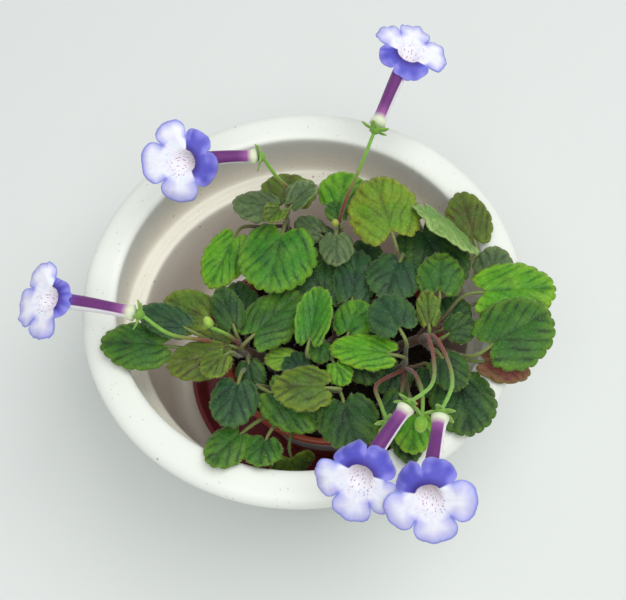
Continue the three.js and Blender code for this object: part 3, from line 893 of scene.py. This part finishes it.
# %% Blooms and their lobes
# Bearings of the lobes in degrees, round the mouth from the side that lies nearest the tube.
BLOOMS = {
    "back": {
        "calyx": (30.5, 41, 34), "mouth": (44.5, 66, 39), "facing": (0.3, 0.1, 0.93),
        "bearings": (30, 122, 185, 236, 285), "frill": 2.0, "fold": (9.6, -20, -46),
    },
    "back_left": {
        "calyx": (-8.5, 38, 30), "mouth": (-32.5, 37, 34), "facing": (-0.2, -0.55, 0.8),
        "bearings": (70, 110, 182, 254, 328), "frill": 0.9, "fold": (10.8, -12, -40),
    },
    "left": {
        "calyx": (-52.5, -11, 21), "mouth": (-80, -2, 22.5), "facing": (-0.54, -0.07, 0.84),
        "bearings": (90, 126, 208, 261, 335), "frill": 1.8, "fold": (7.4, -42, -92),
    },
    "front_left": {
        "calyx": (28, -57, 32), "mouth": (11, -78, 35), "facing": (-0.3, -0.65, 0.68),
        "bearings": (75, 135, 205, 258, 332), "frill": 1.3, "fold": (11.4, -34, -88),
    },
    "front_right": {
        "calyx": (37, -61, 32), "mouth": (29, -87.5, 38.6), "facing": (-0.2, -0.69, 0.69),
        "bearings": (67, 134, 199, 268, 344), "frill": 0.9, "fold": (11.6, -27, -76),
    },
}
# The fold of the two upper lobes: how far they reach from the middle of the mouth when laid flat, and the
# lean of their root and tip. Each lower lobe has its reach and the lean of its tip, and each lobe parts from
# the next one at its distance from the middle.
LOWER_LOBES = [(14.2, -16), (15.4, -8), (14.2, -16)]
PARTS = [7.4, 9.2, 9.2, 7.4, 6.4]
THROAT_DEPTH, TUBE_RADIUS = 5.0, 1.75
LIP_NEAR, LIP_FAR = 2.7, 5.4  # from the middle of the mouth to its lip, at the tube's side and opposite
TUBE_SHARE, THROAT_SHARE = 0.38, 0.16  # of the sheet's rows, and of those of the limb
PETAL_THICKNESS = 0.4
TUBE_FLARE, KNOB_SWELL = 0.35, 0.65  # of the tube's radius, at its end and at the calyx
ROOT_LEAN = 7  # degrees that the joined roots of the lower lobes rise
BEND_LENGTH = 8  # of a free lobe, in which it comes to its own lean

# %% Petal material
petal = Finish(
    "petal", Roughness=0.5, Specular_IOR_Level=0.3, Sheen_Weight=0.15, Subsurface_Weight=0.2,
    Subsurface_Scale=0.0012,
)
around, along, _ = petal.put(
    "ShaderNodeSeparateXYZ", {0: petal.put("ShaderNodeUVMap", uv_map="UVMap").outputs[0]}
).outputs
stretched = petal.put("ShaderNodeCombineXYZ", {"X": petal.times(around, 70), "Y": petal.times(along, 5)})
streaks = petal.cloud(1, place=stretched.outputs[0])
tint = petal.mix(1.0, petal.attribute("tone"), petal.scaled(streaks, 0.24, 0.88), "MULTIPLY")
washes = petal.times(petal.rise(petal.cloud(260), 0.5, 0.75), 0.2)
tint = petal.mix(washes, tint, srgb(206, 196, 240), "MULTIPLY")
dots = petal.rise(petal.cells(1, petal.attribute("plan"), 0.75)["Distance"], 0.38, 0.16)
petal.colour(petal.mix(petal.times(dots, petal.attribute("rim", "Fac")), tint, srgb(140, 58, 142)))
petal.bump(streaks, 0.0002, 0.5)

# %% Corolla
PURPLE, PURPLE_PINK, TUBE_WHITE = srgb(104, 42, 112), srgb(158, 90, 156), srgb(232, 226, 230)
KNOB, CREAM = srgb(218, 224, 192), srgb(234, 228, 232)
PETAL_WHITE, PETAL_LILAC, PETAL_BLUE = srgb(232, 233, 243), srgb(182, 182, 232), srgb(128, 138, 216)
VIOLET_DEEP, VIOLET, VIOLET_LIGHT = srgb(58, 42, 138), srgb(84, 82, 188), srgb(136, 134, 218)


class Corolla:
    COLUMNS, ROWS = 150, 52

    def __init__(self, calyx, mouth, facing, bearings, frill, fold, seed):
        self.mouth, self.facing = Vector(mouth), Vector(facing).normalized()
        self.start = Vector(calyx)
        self.run = (self.mouth - self.start).normalized()
        self.start += self.run * 0.8
        ahead = self.run.dot(self.facing)
        aside = math.sqrt(1 - ahead * ahead)
        # The tube's end lies this far behind the mouth, so that the upper lobes pass over the tube.
        sink = 0.6 + 2.5 / aside - LIP_NEAR * ahead / aside
        self.end = self.mouth - self.run * THROAT_DEPTH - self.facing * sink
        self.run = (self.end - self.start).normalized()
        self.top = (self.facing * self.run.dot(self.facing) - self.run).normalized()
        self.frill = frill
        rng = random.Random(seed)
        reach, self.root_lean, tip_lean = fold
        lobes = [(reach, tip_lean), *LOWER_LOBES, (reach, tip_lean)]
        self.waves = [rng.uniform(0, 6) for _ in lobes]
        self.reaches = [reach for reach, _ in lobes]
        self.leans = [math.radians(lean + rng.uniform(-7, 7)) for _, lean in lobes]
        self.bearings = [math.radians(bearing) for bearing in bearings]
        self.axis = (self.bearings[0] + self.bearings[-1]) / 2 - math.pi
        after = self.bearings[1:] + [self.bearings[0] + 2 * math.pi]
        self.clefts = [(a + b) / 2 for a, b in zip(self.bearings, after)]

    def spoke(self, u):
        """The lobe at a share of the way round, how far from its middle, -1 to 1, and the bearing."""
        number = min(int(5 * u), 4)
        off = math.sin(math.pi * (5 * u - number - 0.5))
        before = self.clefts[number - 1] - (0 if number else 2 * math.pi)
        middle = self.bearings[number]
        return number, off, middle + off * (middle - before if off < 0 else self.clefts[number] - middle)

    def upper(self, turn, low, high):
        """1 on the side of the two upper lobes, 0 on the other."""
        return smooth_step(math.cos(turn - self.axis), low, high)

    def lip(self, turn):
        return (LIP_NEAR + LIP_FAR) / 2 - (LIP_FAR - LIP_NEAR) / 2 * math.cos(turn - self.axis)

    def cross(self, ahead, turn):
        """The direction at a bearing round a tube or mouth that looks ahead."""
        top = (self.top - ahead * self.top.dot(ahead)).normalized()
        return top * math.cos(turn) + ahead.cross(top) * math.sin(turn)

    def tube_place(self, turn, share):
        knob = KNOB_SWELL * math.exp(-(((share - 0.055) / 0.06) ** 2))
        radius = TUBE_RADIUS + TUBE_FLARE * smooth_step(share, 0.3, 1.0) + knob
        if share < 0.05:
            radius *= math.sqrt(max(1 - ((0.05 - share) / 0.05) ** 2, 0.02))
        spot = self.start.lerp(self.end, share) + UP * (0.6 * math.sin(math.pi * share))
        return spot + self.cross(self.run, turn) * radius

    def throat_place(self, turn, share):
        """From the tube's end to the lip: steep under the upper lobes, an easy ramp to the lower ones."""
        out = self.cross(self.facing, turn)
        slope = math.radians(20 + 62 * self.upper(turn, -0.2, 0.7))
        first, last = self.tube_place(turn, 1), self.mouth + out * self.lip(turn)
        second = first + self.run * 1.8
        third = last - (out * math.cos(slope) + self.facing * math.sin(slope)) * 2.2
        rest = 1 - share
        spot = first * rest**3 + second * (3 * rest * rest * share)
        return spot + third * (3 * rest * share * share) + last * share**3

    def root_and_lobe(self, number, off, turn):
        """How long the limb is in the part where the lobes are joined, and in the free lobe beyond."""
        before, after = PARTS[number - 1], PARTS[number]
        shape = max(1 - abs(off) ** 3.2, 0) ** 0.46
        wave = self.waves[number]
        notches = 0.02 * math.sin(11 * off + wave) + 0.012 * math.sin(27 * off + wave)
        reach = self.reaches[number] - (before + after) / 2
        root = before + (after - before) * (off + 1) / 2 - self.lip(turn)
        return root, 0.15 + reach * shape * (1 + self.frill * notches)

    def limb_place(self, number, off, turn, share):
        root, lobe = self.root_and_lobe(number, off, turn)
        run = (root + lobe) * share
        along, beyond = min(run, root), max(run - root, 0)
        lean = math.radians(ROOT_LEAN + (self.root_lean - ROOT_LEAN) * self.upper(turn, -0.1, 0.5))
        bend = lean + (self.leans[number] - lean) * min(beyond / BEND_LENGTH, 1)
        radius = self.lip(turn) + along * math.cos(lean) + beyond * math.cos(bend)
        height = along * math.sin(lean) + beyond * math.sin(bend) - 0.05 * beyond * off * off
        wave = self.waves[number]
        ruffle = 0.5 * math.sin(6.5 * off + wave) + 0.3 * math.sin(13 * off - wave)
        height += (0.02 + 0.03 * self.upper(turn, 0.2, 0.5)) * self.frill * beyond * min(beyond, 4) * ruffle
        return self.mouth + self.cross(self.facing, turn) * radius + self.facing * height

    def place(self, u, v):
        number, off, turn = self.spoke(u)
        if v <= TUBE_SHARE:
            return self.tube_place(turn, v / TUBE_SHARE)
        limb = (v - TUBE_SHARE) / (1 - TUBE_SHARE)
        if limb <= THROAT_SHARE:
            return self.throat_place(turn, limb / THROAT_SHARE)
        return self.limb_place(number, off, turn, (limb - THROAT_SHARE) / (1 - THROAT_SHARE))

    def tube_tone(self, turn, share):
        above = smooth_step(math.cos(turn - self.axis), 0.3, 0.45)
        purple = between(PURPLE_PINK, PURPLE, smooth_step(share, 0.12, 0.4))
        purple = between(purple, VIOLET, 0.5 * smooth_step(share, 0.85, 1.0))
        return between(KNOB, between(TUBE_WHITE, purple, above), smooth_step(share, 0.1, 0.2))

    def limb_spot(self, u, limb):
        """The lobe, off and bearing of a spoke, its root and lobe, and how far past the lip a point is."""
        number, off, turn = self.spoke(u)
        root, lobe = self.root_and_lobe(number, off, turn)
        return number, off, turn, root, lobe, (root + lobe) * max(limb - THROAT_SHARE, 0) / (1 - THROAT_SHARE)

    def limb_tone(self, u, limb, outside):
        """limb is 0 at the tube's end, THROAT_SHARE on the lip and 1 on the margin."""
        number, off, turn, root, lobe, run = self.limb_spot(u, limb)
        to_side = (1 - abs(off)) * 0.6 * (self.lip(turn) + run) + 2 * max(root - run, 0)
        to_edge = min(root + lobe - run, to_side)
        violet = between(VIOLET_DEEP, VIOLET, smooth_step(run, 0.2, 2.8))
        violet = between(VIOLET_LIGHT, violet, smooth_step(to_edge + 0.8 * math.sin(9 * off), -0.8, 3.4))
        white = between(PETAL_BLUE, PETAL_LILAC, smooth_step(to_edge, 0.0, 1.2))
        all_white = 4.4 + 1.2 * math.sin(self.waves[number])
        white = between(white, PETAL_WHITE, smooth_step(to_edge, 0.4, all_white))
        white = between(CREAM, white, smooth_step(limb, 0.0, 1.6 * THROAT_SHARE))
        if outside:
            white = between(TUBE_WHITE, white, smooth_step(limb, 0.1, 0.8))
            violet = between(PURPLE, VIOLET_LIGHT, smooth_step(limb, 0.0, 0.6))
        elif limb < THROAT_SHARE:
            violet = CREAM
        half = (self.clefts[0] + 2 * math.pi - self.clefts[3]) / 2
        from_middle = abs((turn - self.clefts[3] - half + math.pi) % (2 * math.pi) - math.pi)
        return between(white, violet, smooth_step(half - from_middle, -0.05, 0.05))

    def dots(self, u, limb):
        """How strongly the purple dots show, in the throat and on the root of the lower lobes, and their
        cells, many round the throat and fewer along it."""
        _, _, turn, _, _, run = self.limb_spot(u, limb)
        reach = 1.0 + 1.4 * (1 - self.upper(turn, -0.9, -0.2))
        lower = 1 - self.upper(turn, 0.4, 0.7)
        strength = lower * smooth_step(limb, 0.03, 0.08) * (1 - smooth_step(run, reach - 2, reach))
        return strength, (turn * 9 + 50, 7 * min(limb / THROAT_SHARE, 1) + 0.8 * run, 0, 1)

    def mesh(self):
        bm = sheet(self.COLUMNS, self.ROWS, self.place)
        uv = bm.loops.layers.uv.active
        tone, rim = bm.verts.layers.float_color["tone"], bm.verts.layers.float["rim"]
        plan = bm.verts.layers.float_color["plan"]
        for face in bm.faces:
            for loop in face.loops:
                u, v = loop[uv].uv
                limb = (v - TUBE_SHARE) / (1 - TUBE_SHARE)
                if limb <= 0:
                    loop.vert[tone] = self.tube_tone(self.spoke(u)[2], v / TUBE_SHARE)
                else:
                    loop.vert[tone] = self.limb_tone(u, limb, False)
                    loop.vert[rim], loop.vert[plan] = self.dots(u, limb)
        weld(bm, 0.01)
        return bm


# %% Finish the corolla
def finish_corolla(corolla):
    """Turns the sheet's front inwards, thickens it outwards and colours the outside."""
    bm = corolla.mesh()
    uv = bm.loops.layers.uv.active
    probe = max(bm.faces, key=lambda face: face.loops[0][uv].uv.y - abs(face.loops[0][uv].uv.x - 0.5))
    if probe.normal.dot(corolla.facing) < 0:
        bmesh.ops.reverse_faces(bm, faces=bm.faces)
    thicken(bm, PETAL_THICKNESS)
    tone, rim = bm.verts.layers.float_color["tone"], bm.verts.layers.float["rim"]
    under = bm.verts.layers.float["under"]
    for face in bm.faces:
        for loop in face.loops:
            u, v = loop[uv].uv
            if loop.vert[under] > 0.5:
                loop.vert[rim] = 0
                if v > TUBE_SHARE:
                    loop.vert[tone] = corolla.limb_tone(u, (v - TUBE_SHARE) / (1 - TUBE_SHARE), True)
            elif v < TUBE_SHARE:
                loop.vert[tone] = CREAM
    bmesh.ops.holes_fill(bm, edges=bm.edges, sides=0)
    bmesh.ops.recalc_face_normals(bm, faces=bm.faces)
    return bm


for seed, (name, places) in enumerate(BLOOMS.items()):
    bloom = smooth_all(finish_corolla(Corolla(**places, seed=seed)))
    new_piece("corolla_" + name, bloom, [petal], "bloom_" + name, RIM_HEIGHT)

# %% [markdown]
# ## The leafy stems
#
# Each crown has its stem in the soil, its leaves, and what flowers from it. The table gives every leaf as
# where its stalk joins the blade, its tip, its width, its colour and, for some, how it rolls or droops at its
# sides. A flower has the way of its stalk, and a spent one or a bud also its place and where it looks.

# %% The crowns
FOOT_IN_SOIL = SOIL_TOP - RIM_HEIGHT - 7.5
CROWNS = {
    "back_left": {
        "root": (2, 12),
        "crown": (-3, 29, 2),
        "leaves": [
            ((-2, 29, 10), (1, 42, 12), 20, "bronze", {"sides": -0.06}),
            ((-1, 27, 14), (9, 33, 18), 9, "grey", {"sides": 0.2}),
            ((-4, 28, 12), (-20, 33, 12), 13, "grey"),
            ((-3, 26, 16), (-9, 21, 16), 8, "olive", {"sides": 0.1}),
            ((-3, 24, 9), (-11, -2, 9), 27, "green"),
            ((-19, 27, 3), (-31, 7, 0), 16, "bright"),
        ],
        "flowers": {"back_left": [(0, 33, 15), (-4, 35, 22)]},
    },
    "left": {
        "root": (-13, -15),
        "crown": (-21, -16, -4),
        "leaves": [
            ((-30, -8, 4), (-46, 3, 4), 17, "olive"),
            ((-23, -13, 6), (-27, 3, 8), 11, "dark"),
            ((-37, -13, 10), (-54, -3, 10), 12, "blue"),
            ((-43, -16, 6), (-68, -12, 6), 18, "mid"),
            ((-26, -22, 8), (-46, -25, 9), 15, "bronze"),
            ((-26, -23, 11), (-34, -31, 12), 10, "olive"),
            ((-23, -31, 8), (-28, -48, 8), 16, "blue"),
            ((-20, -17, 5), (0, -1, 4), 19, "mid"),
            ((-20, -12, 0), (-22, 10, -2), 15, "dark"),
            ((-20, -21, 0), (-19, -33, -3), 10, "dark"),
            ((-24, -17, 3), (-36, -13, 4), 11, "bronze"),
        ],
        "flowers": {"left": [(-33, -17, 9), (-44, -16, 15)]},
        "buds": [((-30.5, -14, 12), (-0.3, 0.6, 0.7), [(-26, -15, 8)], 4, 1.6, "lime")],
    },
    "back": {
        "root": (12, 11),
        "crown": (14, 21, 0),
        "leaves": [
            ((14, 18, 10), (13, 5, 9), 12, "grey"),
            ((16, 28, 8), (21, 42, 9), 18, "bright"),
            ((16, 22, 9), (14, 31, 9), 8, "mid"),
            ((15, 14, -2), (12, -2, -5), 8, "mid"),
            ((10, 20, 4), (1, 28, 4), 10, "grey"),
            ((13, 17, -2), (7, 28, -3), 12, "dark"),
            ((20, 9, -1), (27, 19, -1), 14, "dark"),
        ],
        "flowers": {"back": [(18, 25, 16), (24, 32, 25)]},
        "buds": [((14, 19, 12.5), (0, 0, 1), [(14.5, 20.5, 8)], 2.6, 1.3, "yellow_green")],
    },
    "back_right": {
        "root": (26, 2),
        "crown": (34, 8, 0),
        "leaves": [
            ((33, 9, 14), (29, 35, 15), 25, "yellow_green"),
            ((43, 24, 13), (60, 2, 11), 17, "pale", {"roll": -48}),
            ((42, 22, 5), (51, -7, 4), 24, "dark"),
            ((60.5, 8, 6), (58.5, 30, 7), 16, "bronze"),
            ((35, 7, 8), (27, -9, 8), 19, "blue"),
        ],
    },
    "right": {
        "root": (28, -17),
        "crown": (38, -20, -1),
        "leaves": [
            ((56, -10, 8), (84, -12, 8), 23, "bright"),
            ((55, -33, 12), (79, -23, 14), 25, "mid"),
            ((54, -33, 5), (71, -39, 3), 12, "red"),
            ((45, -25, 10), (55, -22, 11), 11, "dark"),
            ((42, -32, 11), (47, -45, 10), 13, "dark"),
            ((47, -36, 4), (48, -59, 5), 22, "dark"),
            ((40, -22, 10), (41, -9, 12), 8, "olive"),
            ((45, -11, 9), (48, 5, 11), 16, "mid"),
            ((63, -6, 4), (68, 8, 5), 14, "grey"),
            ((47, -17, 1.5), (53, -8, 1.5), 13, "dark"),
        ],
        "flowers": {
            "front_left": [(39, -25, 10), (39, -37, 17), (36, -49, 25)],
            "front_right": [(41, -26, 11), (43, -37, 18), (42, -51, 27)],
        },
    },
    "front_right": {
        "root": (24, -24),
        "crown": (32, -30, -2),
        "leaves": [
            ((31, -25, 14), (25, -10, 13), 16, "blue"),
            ((29, -30, 9), (7, -24, 8), 13, "bright"),
            ((31, -48, 6), (29, -64, 8), 13, "bright"),
            ((28, -49, 3), (28, -66, 5), 11, "dark"),
            ((29, -38, 0), (24, -51, 0), 11, "dark"),
            ((31, -26, -5.5), (23, -37, -5.5), 13, "dark"),
            ((38.5, -30, -0.5), (40, -43, 0), 11, "dark"),
        ],
        "spent": [((22, -56, 16), (0.2, -0.9, 0.3), [(20.5, -38, 4), (21, -47, 10)])],
        "buds": [((32.5, -56.5, 19), (-0.3, -0.9, 0.1), [(33.3, -37, 8), (34, -47, 15)], 5, 2, "bright")],
    },
    "front": {
        "root": (-2, -24),
        "crown": (-4, -31, -7),
        "leaves": [
            ((7, -39, 10), (-13, -37, 10), 16, "olive"),
            ((-16, -33, 3), (3, -48, 1), 18, "mid"),
            ((9, -40, 6), (12, -60, 6), 20, "dark"),
            ((-16, -50, 3), (-20, -61, 5), 13, "mid"),
            ((-23, -47, 3), (-35, -59, 6), 14, "mid"),
            ((-9.5, -50, -16.5), (-9, -53, -29), 16, "olive"),
            ((-3, -22, -2), (-15, -21, -2), 9, "lime"),
            ((-2, -29, -1), (-7, -20, -1), 10, "blue"),
        ],
    },
    "centre": {
        "root": (8, -11),
        "crown": (10, -15, -5),
        "leaves": [
            ((8, -28, 6), (11, -37, 5), 9, "bright"),
            ((5, -19, 3), (3, -27, 3), 9, "mid"),
            ((0, -23, 7), (7, -2, 10), 12, "green", {"sides": 0.2}),
            ((13, -20, 6), (20, -7, 6), 14, "green"),
            ((16, -8, 4), (21, 13, 5), 15, "blue"),
            ((9, -8, 2), (2, 14, 3), 19, "dark"),
            ((17, -15, 0), (31, -8, 2), 13, "dark"),
            ((14, -20, -2), (22, -34, -2), 14, "dark"),
        ],
    },
}

# %% Calyx, flower stalk and bud
SEPAL_GREEN, SEPAL_TIP = srgb(112, 162, 44), srgb(146, 184, 70)
SEPAL_FROM, SEPAL_LENGTH, SEPAL_THICKNESS = 1.2, 3.8, 0.4
PEDICEL_GREEN, PEDICEL_BROWN = srgb(118, 172, 48), srgb(120, 56, 40)


def aimed(point, direction):
    """Carries +Z to a direction at a point."""
    return Matrix.Translation(point) @ UP.rotation_difference(direction).to_matrix().to_4x4()


def sepal(turn, frame):
    """A small pointed blade that spreads from the cup and curls up at its tip."""

    def place(u, v):
        half = math.sin(math.pi * min(v * 0.9 + 0.1, 1)) ** 0.8 * (1 - 0.35 * v) + 0.05
        lift = -0.2 + 1.1 * v * v + 1.4 * (u - 0.5) ** 2 * (1 - v)
        spot = Vector((SEPAL_FROM + SEPAL_LENGTH * v, (2 * u - 1) * half, lift))
        return frame @ (Matrix.Rotation(turn, 4, "Z") @ spot)

    bm = sheet(6, 10, place)
    colour_points(bm, tone=between(SEPAL_GREEN, SEPAL_TIP, 0.4))
    weld(bm)
    thicken(bm, SEPAL_THICKNESS)
    bmesh.ops.recalc_face_normals(bm, faces=bm.faces)
    return bm


def calyx(point, direction):
    """The cup under the bloom and its five sepals."""
    frame = aimed(point, direction)
    cup_rows = [frame @ Vector((0, 0, -1.8 + 2.2 * step / 6)) for step in range(7)]

    def swell(share):
        return 0.7 + 1.45 * math.sin(share * math.pi / 2) ** 0.8

    cup = tube(cup_rows, swell, lambda _: SEPAL_GREEN, 14)
    return [cup] + [sepal(2 * math.pi * (i + 0.25) / 5, frame) for i in range(5)]


def flower_stalk(points):
    """A thin stalk, brown at the crown and green under the bloom."""
    return tube(
        smooth_path(points, 10 * len(points)),
        lambda share: 0.68 - 0.1 * share,
        lambda share: between(PEDICEL_BROWN, PEDICEL_GREEN, smooth_step(share, 0.4, 0.85)),
        10,
    )


def bud(point, direction, length, radius, tone):
    frame = aimed(point, direction)
    rows = [frame @ Vector((0, 0, length * (1 - math.cos(math.pi * step / 16)) / 2)) for step in range(17)]

    def bulge(share):
        return max(radius * math.sin(math.pi * share) ** 0.7 * (1.12 - 0.3 * share), 0.05)

    blade, _, edge = LEAF_TONES[tone]
    return tube(rows, bulge, lambda share: between(blade, edge, share), 16)


# %% Grow the stems
HAIRS_PER_MM2 = 0.55
MARGIN_HAIRS_PER_MM = 1.6
SHORT_HAIRS = (0.2, 0.4)
STEM_BROWN = srgb(74, 60, 40)
FINISHES = [green, stalk, hair]
LEAF_SLOT, STALK_SLOT, HAIR_SLOT = range(3)


def add_stalk(plant, part, hairs, lengths=(0.3, 0.8)):
    """Joins a stalk and finds the roots of the hairs all round it."""
    roots = hairs_on_faces(part.faces[:], hairs, lengths, 0.25)
    add_part(plant, part, STALK_SLOT)
    return roots


def add_flower(plant, stalk_points, seat, direction, hairs):
    """Joins a flower stalk and its calyx."""
    roots = add_stalk(plant, flower_stalk(stalk_points), hairs)
    for part in calyx(seat, direction):
        roots += add_stalk(plant, part, 8, SHORT_HAIRS)
    return roots


def grow(name, root, crown, leaves, flowers=None, spent=(), buds=()):
    plant = new_bmesh()
    top, bend = Vector(crown), Vector((*root, FOOT_IN_SOIL + 12))
    stem_run = (top - bend).normalized()
    start = top - stem_run
    stem = tube(
        smooth_path([Vector((*root, FOOT_IN_SOIL)), bend, top], 14),
        lambda share: STEM_RADIUS - 0.5 * share - 0.9 * smooth_step(share, 0.93, 1.0),
        lambda share: between(STEM_BROWN, STALK_BROWN, share),
        12,
    )
    roots = add_stalk(plant, stem, 60)
    for order, (base, tip, width, tone, *extras) in enumerate(leaves):
        leaf = Leaf(base, tip, width, tone, **dict(*extras))
        blade = leaf.blade()
        area = sum(face.calc_area() for face in blade.faces)
        roots += hairs_on_faces(blade.faces[:], int(area * HAIRS_PER_MM2), (0.25, 0.6), 0.35)
        roots += hairs_on_margin(leaf, int((leaf.length + width) * 1.5 * MARGIN_HAIRS_PER_MM))
        thicken(blade, LEAF_THICKNESS)
        add_part(plant, blade, LEAF_SLOT)
        roots += add_stalk(plant, leaf_stalk(top, stem_run, leaf, order), 70)
    for bloom, way in (flowers or {}).items():
        places = BLOOMS[bloom]
        seat = Vector(places["calyx"])
        run = (Vector(places["mouth"]) - seat).normalized()
        roots += add_flower(plant, [start, *way, seat - run * 0.8], seat, run, 110)
    for at, looks, way in spent:
        roots += add_flower(plant, [start, *way, at], Vector(at), Vector(looks).normalized(), 80)
    for at, looks, way, *form in buds:
        roots += add_stalk(plant, flower_stalk([start, *way, at]), 50)
        roots += add_stalk(plant, bud(Vector(at), Vector(looks).normalized(), *form), 30, SHORT_HAIRS)
    stand_hairs(plant, roots, HAIR_SLOT)
    new_piece("leafage_" + name, plant, FINISHES, "leafy_stem_" + name, RIM_HEIGHT)


for name, crown in CROWNS.items():
    grow(name, **crown)

# %% [markdown]
# ## Sizes
#
# The dressed plant must stay as large as the imported one, so the box of what is shown is printed.

# %% Sizes
shown_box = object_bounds()
for word, low, high in zip("XYZ", *shown_box):
    print(word, "shown from", round(low * 1000, 1), "to", round(high * 1000, 1), "mm")
